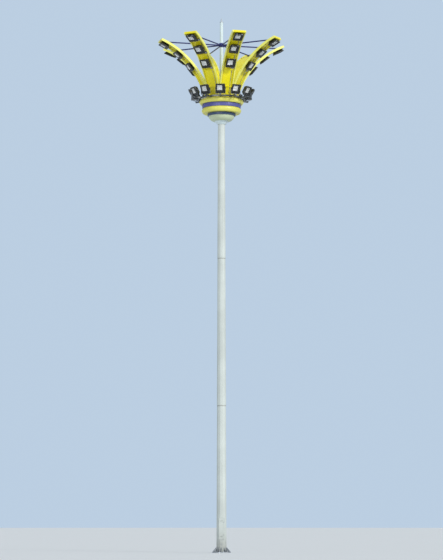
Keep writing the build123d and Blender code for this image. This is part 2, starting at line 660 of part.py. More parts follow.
# ---- write every node ---------------------------------------------------------------
def nodes():
    yield "base_flange", base_flange()
    yield "base_gussets", base_gussets()
    yield "mast_lower", mast_lower()
    yield "mast_middle", mast_tube(MIDDLE_OFFSET, MIDDLE_WALL, MIDDLE_FOOT_Z, MIDDLE_TOP_Z)
    yield "mast_upper", mast_tube(UPPER_OFFSET, UPPER_WALL, UPPER_FOOT_Z, UPPER_TOP_Z)
    yield "door_frame", door_frame()
    yield "access_door", access_door()
    yield "neck_collar", neck_collar()
    yield "bowl_cream_band", cream_band()
    yield "bowl_lower_blue_band", lower_blue_band()
    yield "bowl_lower_yellow_band", lower_yellow_band()
    yield "bowl_upper_blue_band", upper_blue_band()
    yield "bowl_upper_yellow_band", upper_yellow_band()
    yield "deck_plate", deck_plate()
    one_petal = petal()
    for number, azimuth in enumerate(azimuths(PETAL_COUNT, PETAL_FIRST_AZIMUTH), 1):
        yield f"petal_{number}", at_azimuth(one_petal, azimuth)
        yield f"petal_lamps_{number}", petal_lamps(azimuth)
    yield "lamp_ring", lamp_ring()
    ring_azimuths = azimuths(RING_LAMP_COUNT, RING_LAMP_FIRST_AZIMUTH)
    yield "lamp_stirrups", [on_ring(stirrup(), azimuth) for azimuth in ring_azimuths]
    for number, azimuth in enumerate(ring_azimuths, 1):
        yield f"ring_lamp_{number}", ring_lamp(azimuth)
    yield "finial_pole", finial_pole()
    yield "lightning_tip", lightning_tip()
    yield "tie_spider", tie_spider()


os.makedirs("parts", exist_ok=True)
for name, shape in nodes():
    pieces = shape if isinstance(shape, list) else [shape]
    solids = [solid for piece in pieces for solid in piece.solids()]
    export_step(Compound(children=solids), f"parts/{name}.step")
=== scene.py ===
# %% [markdown]
# # A high mast floodlight tower
# A 25 m steel mast carries a banded bowl, a ring of floodlights that tilt, and a crown of
# eight curved petals with three more floodlights on each. The CAD model already has the
# main shapes. This lesson dresses it: paint and zinc, glass and reflectors, bolts, welds,
# ribs and the foot's fittings. Everything is in metres, and the mast stands on the origin.

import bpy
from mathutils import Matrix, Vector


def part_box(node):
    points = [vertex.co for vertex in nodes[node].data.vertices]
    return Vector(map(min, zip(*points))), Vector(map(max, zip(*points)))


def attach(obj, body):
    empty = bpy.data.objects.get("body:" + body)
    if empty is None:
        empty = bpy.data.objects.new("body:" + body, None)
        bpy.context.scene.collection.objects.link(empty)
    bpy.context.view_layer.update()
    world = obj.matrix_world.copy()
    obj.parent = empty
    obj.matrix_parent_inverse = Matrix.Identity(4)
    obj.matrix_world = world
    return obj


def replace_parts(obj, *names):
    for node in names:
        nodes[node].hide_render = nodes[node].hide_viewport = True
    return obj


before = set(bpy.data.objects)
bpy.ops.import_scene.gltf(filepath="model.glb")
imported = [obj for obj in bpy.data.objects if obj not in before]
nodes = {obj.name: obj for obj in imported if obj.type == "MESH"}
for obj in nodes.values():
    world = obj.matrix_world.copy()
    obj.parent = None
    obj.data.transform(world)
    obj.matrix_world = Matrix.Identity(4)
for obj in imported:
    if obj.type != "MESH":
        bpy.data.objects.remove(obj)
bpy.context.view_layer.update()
ROOT = "tower"

# %% What the lesson works with
import math

import bmesh
import bpy
from mathutils import Matrix, Vector
from mathutils.bvhtree import BVHTree

# %% [markdown]
# ## Node maths that reads like maths
# A finish is a small sum: a base colour, a little more of this where a noise is high, a
# little less where rain has run. So is the place of a bolt on a circle. Wiring Math nodes
# by hand hides that sum. A class that wraps a socket and overloads the operators lets a
# line of Python say it, and each operator adds its node. Materials, geometry and sky share it.


# %% A socket that can be added and multiplied
class Field:
    """A number that varies over a surface, or from copy to copy."""

    def __init__(self, owner, socket):
        self.owner = owner
        self.socket = socket

    def math(self, operation, *others):
        return self.owner.math(operation, self, *others)

    def __add__(self, other):
        return self.math("ADD", other)

    def __mul__(self, other):
        return self.math("MULTIPLY", other)

    __radd__, __rmul__ = __add__, __mul__

    def __sub__(self, other):
        return self.math("SUBTRACT", other)

    def __rsub__(self, other):
        return self.owner.math("SUBTRACT", other, self)

    def __truediv__(self, other):
        return self.math("DIVIDE", other)

    def __abs__(self):
        return self.math("ABSOLUTE")

    def least(self, other):
        return self.math("MINIMUM", other)

    def between(self, low, high):
        """0 below low, 1 above high, with a smooth step between."""
        sockets = {"Value": self, "From Min": low, "From Max": high}
        made = self.owner.node("ShaderNodeMapRange", sockets, interpolation_type="SMOOTHSTEP")
        return Field(self.owner, made.outputs[0])


# %% A node tree
class Nodes:
    """Adds nodes to a tree: settings first, then the values or links of the sockets."""

    def __init__(self, tree):
        self.tree = tree
        tree.nodes.clear()

    def node(self, kind, sockets=None, **settings):
        made = self.tree.nodes.new(kind)
        for key, value in settings.items():
            setattr(made, key, value)
        for key, value in (sockets or {}).items():
            self.plug(value, made.inputs[key])
        return made

    def plug(self, value, socket):
        if isinstance(value, Field):
            value = value.socket
        if isinstance(value, bpy.types.NodeSocket):
            self.tree.links.new(value, socket)
        elif socket.type == "RGBA":
            socket.default_value = (*value, 1.0)
        else:
            socket.default_value = value

    def math(self, operation, *values):
        made = self.node("ShaderNodeMath", dict(enumerate(values)), operation=operation)
        return Field(self, made.outputs[0])


# %% A finish: one material and the nodes in it
class Finish(Nodes):
    """A material round one Principled shader, patterned in Object coordinates."""

    def __init__(self, name, metallic=0.0):
        self.material = bpy.data.materials.new(name)
        self.material.use_nodes = True
        super().__init__(self.material.node_tree)
        self.shader = self.node("ShaderNodeBsdfPrincipled", {"Metallic": metallic})
        self.node("ShaderNodeOutputMaterial", {"Surface": self.shader.outputs[0]})
        self.place = self.node("ShaderNodeTexCoord").outputs["Object"]

    def set(self, name, value):
        self.plug(value, self.shader.inputs[name])

    def colour_so_far(self):
        return self.shader.inputs["Base Color"].links[0].from_socket

    def axes(self):
        split = self.node("ShaderNodeSeparateXYZ", {"Vector": self.place})
        return [Field(self, split.outputs[i]) for i in range(3)]

    def stretched(self, scale):
        """The place on the object, scaled along each axis."""
        return self.node("ShaderNodeMapping", {"Vector": self.place, "Scale": scale}).outputs[0]

    def noise(self, scale, detail=3.0, place=None):
        sockets = {"Vector": place or self.place, "Scale": scale, "Detail": detail}
        return Field(self, self.node("ShaderNodeTexNoise", sockets).outputs["Fac"])

    def cells(self, scale):
        """A number for each crystal, dent or flake."""
        made = self.node("ShaderNodeTexVoronoi", {"Vector": self.place, "Scale": scale})
        split = self.node("ShaderNodeSeparateColor", {"Color": made.outputs["Color"]})
        return Field(self, split.outputs[0])

    def blend(self, share, first, second):
        """A colour between two others."""
        sockets = {"Factor": share, 6: first, 7: second}
        return self.node("ShaderNodeMix", sockets, data_type="RGBA").outputs[2]

    def bump(self, height, depth):
        made = self.node("ShaderNodeBump", {"Height": height, "Distance": depth})
        self.set("Normal", made.outputs["Normal"])


def shade(colour, share):
    """A colour made darker or lighter by a share."""
    return tuple(min(1.0, c * share) for c in colour)


# %% [markdown]
# ## Paint that has stood outdoors
# The bowl, the petals and the mast are painted steel. New paint is even, but outdoors it
# fades in broad patches, rain draws faint streaks down it, dust stays in the hollows, and
# a sprayed coat keeps a fine orange-peel skin. Three noises of different size and stretch
# give that: a broad one for fading, one stretched upwards for the streaks, and a fine one
# for the bump.

# %% Painted steel
DUST = (0.45, 0.43, 0.38)


def painted(name, colour, gloss=0.42, streaks=0.35):
    finish = Finish(name)
    fade = finish.noise(0.7, 4.0)
    streak = finish.noise(1.0, 3.0, finish.stretched((9.0, 9.0, 0.45))).between(0.5, 0.78)
    speck = finish.noise(38.0, 2.0).between(0.63, 0.72)
    body = finish.blend(fade.between(0.35, 0.7), shade(colour, 0.9), shade(colour, 1.06))
    washed = finish.blend(streak * streaks * 0.45, body, shade(colour, 0.62))
    finish.set("Base Color", finish.blend(speck * 0.1, washed, DUST))
    finish.set("Roughness", 0.12 * fade + 0.1 * streak + (gloss - 0.06))
    peel = finish.noise(260.0, 1.0)
    finish.bump(peel * 0.25 + finish.noise(5.0, 2.0) * 0.75, 0.0016)
    return finish


white_paint = painted("white_paint", (0.61, 0.72, 0.74)).material
cream_paint = painted("cream_paint", (0.52, 0.60, 0.40)).material
slate_paint = painted("slate_paint", (0.045, 0.075, 0.17)).material
blue_paint = painted("blue_paint", (0.085, 0.088, 0.30)).material
# The bowl's yellow is its paint mixed darker, with painted shade for a bowl seen from below.
yellow_paint = painted("yellow_paint", (0.70, 0.67, 0.12)).material
navy_paint = painted("navy_paint", (0.006, 0.012, 0.14), gloss=0.35).material
print("paints", [m.name for m in bpy.data.materials if m.name.endswith("_paint")])

# %% [markdown]
# The mast's paint is the same, with two things more: splashed soil darkens the lowest
# metre, and each slip joint, where one tube sleeves the next, holds a thin dark line of
# dirt under its lip. Both depend on height alone, so they are a step along Z.

# %% The mast's paint
MAST_COLOUR = (0.52, 0.565, 0.54)
SOIL = (0.17, 0.155, 0.13)
SPLASH_LOW, SPLASH_TOP = 0.35, 1.5
JOINT_LINE = 0.035
lips = [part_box(node)[0].z for node in ("mast_middle", "mast_upper")]


def mast_finish():
    finish = painted("mast_paint", MAST_COLOUR, gloss=0.4, streaks=0.55)
    height = finish.axes()[2]
    splash = 1.0 - (height + 0.7 * finish.noise(3.0, 4.0)).between(SPLASH_LOW, SPLASH_TOP)
    below = [1.0 - abs(height - (lip - JOINT_LINE)).between(0.0, JOINT_LINE) for lip in lips]
    dirt = (splash * 0.5 + (below[0] + below[1]) * 0.6).least(0.75)
    finish.set("Base Color", finish.blend(dirt, finish.colour_so_far(), SOIL))
    return finish.material


mast_paint = mast_finish()
print("slip joints at", [round(lip, 2) for lip in lips])

# %% [markdown]
# ## The petals' yellow, and a painted highlight on the rails
# Each petal is a bright yellow sheet. Its rails along the edges are mixed paler, as a painted
# highlight where light catches them. The rails could be told apart by painting faces, but the
# CAD mesh stays as it is. The rule is geometric instead: fold every petal onto one by its angle
# round the mast, and measure how far a point lies from the petal's edge. Near the foot the edges
# are radial cuts, further up they run parallel, so the half width is the smaller of the two.

# %% The petals' paint
PETALS = 8
PETAL_AZIMUTH = 16.0
PETAL_STEP = 2 * math.pi / PETALS
PETAL_HALF = 0.325
PETAL_EDGE_GAP = 0.012
RAIL = 0.050
FIRST_PETAL = math.radians(PETAL_AZIMUTH - 90)


def half_width(out):
    """A petal's half width where it stands that far out from the mast."""
    radial_cut = out * math.tan(PETAL_STEP / 2) - PETAL_EDGE_GAP / math.cos(PETAL_STEP / 2)
    return radial_cut.least(PETAL_HALF)


def petal_finish():
    finish = painted("petal_paint", (0.84, 0.74, 0.008), gloss=0.34, streaks=0.3)
    x, y, _ = finish.axes()
    turn = y.math("ARCTAN2", x) - (FIRST_PETAL - PETAL_STEP / 2)
    local = turn.math("FLOORED_MODULO", PETAL_STEP) - PETAL_STEP / 2
    reach = (x * x + y * y).math("SQRT")
    from_edge = half_width(reach * local.math("COSINE")) - abs(reach * local.math("SINE"))
    # Painted highlight: the rails are mixed paler than the sheet, in random patches.
    rail_highlight = 1.0 - from_edge.between(RAIL - 0.003, RAIL + 0.003)
    patches = finish.noise(1.2).between(0.35, 0.7)
    pale = finish.blend(patches, (0.78, 0.79, 0.16), (0.84, 0.84, 0.24))
    rail_highlighted = finish.blend(rail_highlight * 0.85, finish.colour_so_far(), pale)
    grime = finish.noise(2.2, 5.0).between(0.52, 0.8) * (1.0 - from_edge.between(0.05, 0.1))
    finish.set("Base Color", finish.blend(grime * 0.3, rail_highlighted, (0.3, 0.27, 0.1)))
    return finish.material


petal_paint = petal_finish()
print("petal paint", len(petal_paint.node_tree.nodes), "nodes")

# %% [markdown]
# ## Zinc
# Hot-dip zinc crystallises in flakes that each reflect a little differently, which is what
# Voronoi cells are. Up at the ring the zinc is much darker, so the same function makes
# it from two darker greys.


# %% Zinc, as dipped and much darker
def zinc_finish(name, dull, bright):
    """Flakes between two greys, with a bloom of white rust."""
    finish = Finish(name, metallic=0.82)
    flake = finish.cells(55.0)
    cloud = finish.noise(4.0, 4.0)
    colour = finish.blend(flake * 0.6 + cloud * 0.4, dull, bright)
    white_rust = finish.noise(11.0, 5.0).between(0.58, 0.75)
    finish.set("Base Color", finish.blend(white_rust * 0.35, colour, shade(bright, 1.15)))
    finish.set("Roughness", 0.36 + 0.16 * flake + 0.2 * white_rust)
    finish.bump(flake * 0.3 + finish.noise(90.0) * 0.7, 0.0008)
    return finish.material


zinc = zinc_finish("zinc", (0.26, 0.28, 0.30), (0.48, 0.50, 0.52))
# A much darker zinc for the hoop, its stirrups and their bolts.
sooty_zinc = zinc_finish("sooty_zinc", (0.085, 0.095, 0.10), (0.20, 0.21, 0.22))
print("zinc", len(zinc.node_tree.nodes), "nodes")

# %% [markdown]
# ## The floodlight's finishes
# The floodlights are cast aluminium under a black powder coat, with a gritty skin. Behind
# the glass sits a pressed reflector of bright anodised sheet. The glass itself is a thin
# pane: mostly see-through, and glossy. The film on it, the frosted lamp tube and the aged
# rubber each turn from one tone to another where a noise is high, so one function starts
# all three.


# %% Black casting and bright reflector
def casting_finish():
    finish = Finish("black_casting")
    dust = finish.noise(9.0, 5.0, finish.stretched((1.0, 1.0, 0.5))).between(0.5, 0.8)
    colour = finish.blend(finish.noise(3.0, 4.0), (0.006, 0.008, 0.007), (0.014, 0.016, 0.015))
    finish.set("Base Color", finish.blend(dust * 0.14, colour, (0.16, 0.15, 0.13)))
    finish.set("Roughness", 0.42 + 0.2 * dust)
    finish.bump(finish.noise(420.0, 1.0), 0.0006)
    return finish.material


def reflector_finish():
    finish = Finish("reflector", metallic=0.35)
    hammer = finish.cells(120.0)
    colour = finish.blend(finish.noise(20.0), (0.86, 0.88, 0.88), (0.95, 0.95, 0.94))
    finish.set("Base Color", colour)
    finish.set("Roughness", 0.3 + 0.12 * hammer)
    finish.bump(hammer, 0.001)
    return finish.material


black_casting = casting_finish()
reflector_sheet = reflector_finish()
print("made", black_casting.name, "and", reflector_sheet.name)


# %% Glass, lamp tube and rubber
def two_toned(name, scale, colours, roughness, more, detail=3.0, edges=None):
    """One colour turns into another, and smooth into rougher, where a noise is high."""
    finish = Finish(name)
    share = finish.noise(scale, detail)
    if edges:
        share = share.between(*edges)
    finish.set("Base Color", finish.blend(share, *colours))
    finish.set("Roughness", roughness + more * share)
    return finish, share


def glass_finish():
    colours = (0.88, 0.93, 0.92), (0.80, 0.81, 0.76)
    finish, film = two_toned("glass_pane", 7.0, colours, 0.04, 0.2, 4.0, (0.45, 0.8))
    finish.set("Alpha", 0.14 + 0.18 * film)
    finish.material.surface_render_method = "BLENDED"
    return finish.material


def rubber_finish():
    colours = (0.012, 0.012, 0.012), (0.05, 0.05, 0.048)
    finish, _ = two_toned("gasket_rubber", 25.0, colours, 0.7, 0.2, 4.0, (0.4, 0.8))
    finish.bump(finish.noise(300.0), 0.0004)
    return finish.material


glass_pane = glass_finish()
frosted = (0.9, 0.9, 0.86), (0.97, 0.97, 0.95)
lamp_tube = two_toned("lamp_tube", 60.0, frosted, 0.2, 0.2)[0].material
gasket_rubber = rubber_finish()
print("materials", len(bpy.data.materials))

# %% [markdown]
# ## Dressing the CAD nodes
# A node whose shape is right stays as it is and only changes its material. The new one is
# linked to the object's slot, so the node's mesh isn't touched.

# %% One finish for each node
SECTIONS = ("mast_lower", "mast_middle", "mast_upper")
BANDS = {
    "bowl_cream_band": cream_paint,
    "bowl_lower_blue_band": slate_paint,
    "bowl_lower_yellow_band": yellow_paint,
    "bowl_upper_blue_band": blue_paint,
    "bowl_upper_yellow_band": yellow_paint,
}


def dress(material, *names):
    for name in names:
        for slot in nodes[name].material_slots:
            slot.link = "OBJECT"
            slot.material = material


for band, paint in BANDS.items():
    dress(paint, band)
dress(mast_paint, *SECTIONS, "door_frame", "access_door")
dress(zinc, "base_flange", "base_gussets", "deck_plate", "lightning_tip")
dress(sooty_zinc, "lamp_ring", "lamp_stirrups")
dress(white_paint, "neck_collar", "finial_pole")
dress(navy_paint, "tie_spider")
dress(petal_paint, *[f"petal_{n + 1}" for n in range(PETALS)])
print("bands from below", list(BANDS))

# %% [markdown]
# ## Helpers for new pieces
# A new piece is a mesh whose place is in its vertices, so its object stays at the origin.
# Most shapes are a skin over a row of rings: a lathed part, a folded strip, a tube. Small
# meshes are made near the origin, moved, and joined. `finished` turns one into a piece: it
# points the faces outwards, rounds the shading up to an angle and hangs it on its body.

# %% Meshes from rings of points
def skin(rings, round_trip=False):
    """Joins rings of points. Open ends are capped, unless they are a single point."""
    mesh = bmesh.new()
    loops = [[mesh.verts.new(point) for point in ring] for ring in rings]
    pairs = list(zip(loops, loops[1:]))
    if round_trip:
        pairs.append((loops[-1], loops[0]))
    for low, high in pairs:
        a, b = len(low), len(high)
        for j in range(max(a, b)):
            corners = [low[j % a], low[(j + 1) % a], high[(j + 1) % b], high[j % b]]
            mesh.faces.new(list(dict.fromkeys(corners)))
    for loop in (loops[0], loops[-1]):
        if len(loop) > 1 and not round_trip:
            mesh.faces.new(loop)
    return mesh


def lathed(profile, steps, ring=False):
    """Turns (radius, height) points round Z: a ring, or a solid that is closed on the axis."""
    if not ring:
        outer = [point for point in profile if point[0]]
        profile = [(0, profile[0][1]), *outer, (0, profile[-1][1])]
    turns = [2 * math.pi * i / steps for i in range(steps)]
    rings = []
    for r, z in profile:
        rings.append([(r * math.cos(t), r * math.sin(t), z) for t in (turns if r else turns[:1])])
    return skin(rings, ring)


def bead(radius, z, offsets, steps, size=1.0):
    """A ring whose section is drawn outwards and upwards from a circle."""
    return lathed([(radius + size * out, z + size * up) for out, up in offsets], steps, ring=True)


# %% Blocks, plates and even steps
def block(width, depth, height, centre, edge):
    """A box with rounded edges; width, depth and height run along X, Y and Z."""
    mesh = bmesh.new()
    bmesh.ops.create_cube(mesh, size=1.0)
    bmesh.ops.scale(mesh, vec=(width, depth, height), verts=mesh.verts)
    bmesh.ops.translate(mesh, vec=centre, verts=mesh.verts)
    bmesh.ops.bevel(mesh, geom=mesh.edges[:], offset=edge, segments=2, affect="EDGES")
    return mesh


def cut_out(outline, half):
    """A plate with an (x, z) outline, half its thickness on each side of Y = 0."""
    return skin([[(x, y, z) for x, z in outline] for y in (-half, half)])


def spread(first, last, steps):
    """Even steps from first to last, both included."""
    return [first + (last - first) * i / steps for i in range(steps + 1)]


# %% Moving and joining meshes
def moved(mesh, matrix):
    bmesh.ops.transform(mesh, matrix=matrix, verts=mesh.verts)
    return mesh


def placed(mesh, where):
    return moved(mesh, Matrix.Translation(where))


def turned(mesh, axis, degrees):
    return moved(mesh, Matrix.Rotation(math.radians(degrees), 4, axis))


def turned_to(azimuth):
    """Turns what was made along +X so that it points to an azimuth."""
    return Matrix.Rotation(math.radians(azimuth - 90), 4, "Z")


def swept(line, section, azimuth):
    """Sweeps (out, across) points along a line of (x, z) points, then turns the result."""
    rows = [[(x + out, across, z) for out, across in section] for x, z in line]
    return moved(skin(rows), turned_to(azimuth))


def marked(mesh, finish):
    """Gives a mesh the finish with that number in its piece."""
    for face in mesh.faces:
        face.material_index = finish
    return mesh


def joined(meshes):
    """One mesh of several, which are used up."""
    whole = bmesh.new()
    for mesh in meshes:
        data = bpy.data.meshes.new("joined")
        mesh.to_mesh(data)
        mesh.free()
        whole.from_mesh(data)
        bpy.data.meshes.remove(data)
    return whole


# %% From mesh to piece
SMOOTH_ANGLE = math.radians(35)


def as_object(name, mesh):
    """An object that isn't in the scene yet. Trees take copies of such master pieces."""
    bmesh.ops.recalc_face_normals(mesh, faces=mesh.faces)
    data = bpy.data.meshes.new(name)
    mesh.to_mesh(data)
    mesh.free()
    data.shade_smooth()
    data.set_sharp_from_angle(angle=SMOOTH_ANGLE)
    return bpy.data.objects.new(name, data)


def finished(name, mesh, materials, body=ROOT):
    piece = as_object(name, mesh)
    for material in materials:
        piece.data.materials.append(material)
    bpy.context.scene.collection.objects.link(piece)
    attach(piece, body)
    return piece


def gathered(name, meshes, material):
    """Joins several meshes into one piece on the tower."""
    whole = joined([marked(mesh, 0) for mesh in meshes])
    piece = finished(name, whole, [material])
    print(name, "triangles", sum(len(p.vertices) - 2 for p in piece.data.polygons))


# %% [markdown]
# ## Fasteners by the hundred
# Bolts and rivets repeat round circles and along the petals' arc. They could be copied in a
# loop, but Geometry Nodes say the rule once and take the numbers as inputs: how many, how
# far out, how high. A master fastener is modelled small and plain, a few dozen faces, and
# the tree sets copies of it. The last two nodes make the copies real and give them their
# material.

# %% Master fasteners, standing along +Z with the seat at Z = 0
def hex_bolt(across, head, washer=1.25, seat=0.2):
    """A hex head on a round washer, whose width and thickness are shares of the hexagon."""
    radius = across / 2 / math.cos(math.pi / 6)
    top = across * seat
    crown = [(radius, top), (radius, top + head * 0.85), (radius * 0.82, top + head)]
    return joined([lathed([(radius * washer, 0), (radius * washer, top)], 12), lathed(crown, 6)])


def dome(radius, height, sides=10):
    """A domed head: a rivet's, or a flatter carriage bolt's."""
    bend = ((1, 0), (0.92, 0.45), (0.6, 0.83), (0, 1))
    return lathed([(radius * r, height * h) for r, h in bend], sides)


def stud_and_nut(across, nut, stud):
    """A nut on its washer, with the stud's chamfered end above it."""
    end = [(across * 0.31, 0), (across * 0.31, stud - 0.003), (across * 0.26, stud)]
    return joined([hex_bolt(across, nut), lathed(end, 12)])


anchor_nut = as_object("anchor_nut_master", stud_and_nut(0.050, 0.028, 0.075))
deck_bolt = as_object("deck_bolt_master", hex_bolt(0.030, 0.013))
band_bolt = as_object("band_bolt_master", hex_bolt(0.024, 0.009))
carriage_bolt = as_object("carriage_bolt_master", dome(0.015, 0.0036, 16))
print("faces of a nut", len(anchor_nut.data.polygons), "and a bolt", len(deck_bolt.data.polygons))


# %% A tree with named inputs
class Tree(Nodes):
    """A Geometry Nodes group that takes a piece, a count, some numbers and a material."""

    def __init__(self, name, *numbers):
        super().__init__(bpy.data.node_groups.new(name, "GeometryNodeTree"))
        socket = self.tree.interface.new_socket
        socket("Geometry", in_out="OUTPUT", socket_type="NodeSocketGeometry")
        kinds = {"Piece": "Object", "Count": "Int", **dict.fromkeys(numbers, "Float")}
        kinds["Material"] = "Material"
        self.keys = {
            label: socket(label, in_out="INPUT", socket_type="NodeSocket" + kind).identifier
            for label, kind in kinds.items()
        }
        given = self.node("NodeGroupInput").outputs
        self.given = [Field(self, given[label]) for label in kinds]

    def index(self):
        return Field(self, self.node("GeometryNodeInputIndex").outputs[0])

    def vector(self, x, y, z):
        return self.node("ShaderNodeCombineXYZ", {"X": x, "Y": y, "Z": z}).outputs[0]

    def shape(self, piece):
        return self.node("GeometryNodeObjectInfo", {"Object": piece}).outputs["Geometry"]

    def real(self, copies):
        return self.node("GeometryNodeRealizeInstances", {"Geometry": copies}).outputs[0]

    def copies(self, count, shape, place, turn, scale=(1.0, 1.0, 1.0)):
        """Copies of a shape, each with its own place, turn and scale."""
        line = self.node("GeometryNodeMeshLine", {"Count": count, "Offset": (0, 0, 0)})
        sockets = {"Geometry": line.outputs[0], "Position": place}
        points = self.node("GeometryNodeSetPosition", sockets).outputs[0]
        sockets = {"Points": points, "Instance": shape, "Rotation": turn, "Scale": scale}
        return self.node("GeometryNodeInstanceOnPoints", sockets).outputs[0]

    def end(self, copies, material):
        sockets = {"Geometry": self.real(copies), "Material": material}
        made = self.node("GeometryNodeSetMaterial", sockets)
        self.plug(made.outputs[0], self.node("NodeGroupOutput").inputs[0])


# %% The ring tree: copies round the mast
def ring_tree():
    """Copies stand on a circle, upright, or pointing outwards and down by a lean."""
    tree = Tree("ring_of_pieces", "Radius", "Height", "First Azimuth", "Lean")
    piece, count, radius, height, first, lean, material = tree.given
    turn = (tree.index() * 360.0 / count + first - 90.0).math("RADIANS")
    place = tree.vector(turn.math("COSINE") * radius, turn.math("SINE") * radius, height)
    facing = tree.vector(0.0, lean.math("RADIANS"), turn)
    tree.end(tree.copies(count, tree.shape(piece), place, facing), material)
    return tree


# %% [markdown]
# ## Copies along the petals
# All petals follow the same circular arc, so a place on one is a lean along the arc and a
# distance to one side. The second tree takes both, keeps a margin from the petal's edge,
# wherever that edge is, and repeats one petal's pieces on all eight. With the rule in the
# tree, rivets, rib flanges, saddles and plates need only their numbers.

# %% The petal tree: copies along the arc, on all eight petals
DECK_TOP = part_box("deck_plate")[1].z
ARC_RADIUS = 3.940
FOOT_RADIUS = 0.620
FOOT_LEAN, TIP_LEAN = 14.0, 68.0
ARC_R = FOOT_RADIUS + ARC_RADIUS * math.cos(math.radians(FOOT_LEAN))
ARC_Z = DECK_TOP - ARC_RADIUS * math.sin(math.radians(FOOT_LEAN))


def petal_tree():
    """Copies run from one lean to another, square to the arc, a margin in from one edge."""
    inputs = ("First Lean", "Last Lean", "Radius", "Side", "Margin", "Shift", "Span")
    tree = Tree("pieces_along_petals", *inputs)
    piece, count, first, last, radius, side, margin, shift, span, material = tree.given
    share = tree.index() / (count - 1.0).math("MAXIMUM", 1.0)
    lean = (first + (last - first) * share).math("RADIANS")
    out = ARC_R - radius * lean.math("COSINE")
    half = half_width(out) - margin
    place = tree.vector(out, half * side + shift, ARC_Z + radius * lean.math("SINE"))
    scale = tree.vector(1.0, 1.0 + span * (half * 2.0 - 1.0), 1.0)
    facing = tree.vector(0.0, lean, 0.0)
    petal = tree.real(tree.copies(count, tree.shape(piece), place, facing, scale))
    around = tree.vector(0.0, 0.0, tree.index() * PETAL_STEP + FIRST_PETAL)
    tree.end(tree.copies(PETALS, petal, (0, 0, 0), around), material)
    return tree


ROUND_MAST = ring_tree()
ON_PETALS = petal_tree()
print("trees", [g.name for g in bpy.data.node_groups])

# %% [markdown]
# A tree lives in a modifier, and a modifier needs an object. Each run borrows a carrier with
# an empty mesh, sets the inputs by their identifiers, takes the mesh that the tree makes,
# and throws the carrier away. What is left is plain geometry that can be joined and moved.


# %% Running a tree
def grown(tree, **values):
    """The plain mesh that a tree makes, as a bmesh."""
    carrier = bpy.data.objects.new("carrier", bpy.data.meshes.new("carrier"))
    bpy.context.scene.collection.objects.link(carrier)
    modifier = carrier.modifiers.new("tree", "NODES")
    modifier.node_group = tree.tree
    for label, value in values.items():
        modifier[tree.keys[label.replace("_", " ").title()]] = value
    graph = bpy.context.evaluated_depsgraph_get()
    made = bpy.data.meshes.new_from_object(carrier.evaluated_get(graph))
    mesh = bmesh.new()
    mesh.from_mesh(made)
    carrier.modifiers.remove(modifier)
    bpy.data.objects.remove(carrier)
    bpy.data.meshes.remove(made)
    return mesh


def round_mast(piece, material, count, radius, height, first=0.0, lean=0.0):
    """A ring of copies that starts at an azimuth."""
    return grown(ROUND_MAST, piece=piece, count=count, radius=radius, height=height,
                 first_azimuth=first, lean=lean, material=material)


def on_petals(piece, material, radius, leans, count=1, **shape):
    """Copies on every petal, in a row between two leans; one lean is given twice."""
    given = {"side": 0.0, "margin": 0.0, "shift": 0.0, "span": 0.0, **shape}
    return grown(ON_PETALS, piece=piece, count=count, radius=radius, first_lean=leans[0],
                 last_lean=leans[-1], material=material, **given)


# %% [markdown]
# ## The foot
# A real mast stands on nuts: each foundation bolt comes up through the flange and takes a
# washer and a nut, and some thread shows above. Below the flange the bolts belong to the
# foundation, so they start at its upper face here. A fillet weld runs round the mast where
# it meets the flange.

# %% Anchor nuts and the mast's weld
MAST_SIDES = 12
ANCHOR_BOLTS = 12
ANCHOR_RADIUS = 0.360
MAST_FOOT, MAST_TAPER = 0.240, 0.0041
FILLET = ((-0.001, 0), (0.012, 0), (0.00744, 0.006), (0.00336, 0.0096), (-0.001, 0.012))
flange_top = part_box("base_flange")[1].z

nuts = round_mast(anchor_nut, zinc, ANCHOR_BOLTS, ANCHOR_RADIUS, flange_top, 180.0 / ANCHOR_BOLTS)
gathered("anchor_nuts", [nuts], zinc)


def round_section(radius, z, offsets):
    """A bead with the mast's own sides and corners."""
    return turned(bead(radius, z, offsets, MAST_SIDES), "Z", 180 / MAST_SIDES)


foot_weld = round_section(MAST_FOOT, flange_top, FILLET)
gathered("foot_weld", [foot_weld], zinc)

# %% [markdown]
# ## The access door
# Behind the door sit the fuses and the cable joints. It hangs on two knuckle hinges on its
# left, closes with two keyed locks on its right, and breathes through a louvre. An earthing
# boss with a bolt is welded to the mast beside it. All of these are small turned and folded
# pieces, so they are made from rounded blocks and lathed profiles and joined.

# %% Hinges and locks
HINGE_INSET, LOCK_INSET = 0.16, 0.20
KNUCKLE = 0.026
door_low, door_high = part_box("access_door")
door_front = door_low.y


def door_hinge(z):
    """A knuckle in three lengths round a pin, with a leaf on the door."""
    x = door_low.x - 0.002
    parts = []
    for part in range(3):
        low = z + (part - 1.5) * KNUCKLE + 0.0006
        barrel = [(0.0075, low), (0.0082, low + 0.001), (0.0082, low + 0.0236),
                  (0.0075, low + 0.0246)]
        parts.append(placed(lathed(barrel, 16), (x, door_front - 0.0085, 0)))
    leaf = block(0.038, 0.004, 0.070, (x + 0.020, door_front - 0.002, z), 0.001)
    return joined([*parts, leaf])


def door_lock(z):
    """A round lock barrel with a triangular key socket standing in a dished rim."""
    rim = [(0.017, 0.0), (0.017, 0.004), (0.0145, 0.0065), (0.012, 0.0045)]
    key = [(0.006, 0.004), (0.0055, 0.009)]
    lock = joined([lathed(rim, 24), lathed(key, 3)])
    return placed(turned(lock, "X", 90), (door_high.x - 0.028, door_front, z))


hinges = [door_hinge(door_low.z + HINGE_INSET), door_hinge(door_high.z - HINGE_INSET)]
locks = [door_lock(door_low.z + LOCK_INSET), door_lock(door_high.z - LOCK_INSET)]
gathered("door_hinges", hinges, mast_paint)
gathered("door_locks", locks, zinc)

# %% Louvre and earthing boss
HOODS, HOOD_PITCH, HOOD_HALF = 6, 0.014, 0.055
EARTH_HEIGHT = 0.40


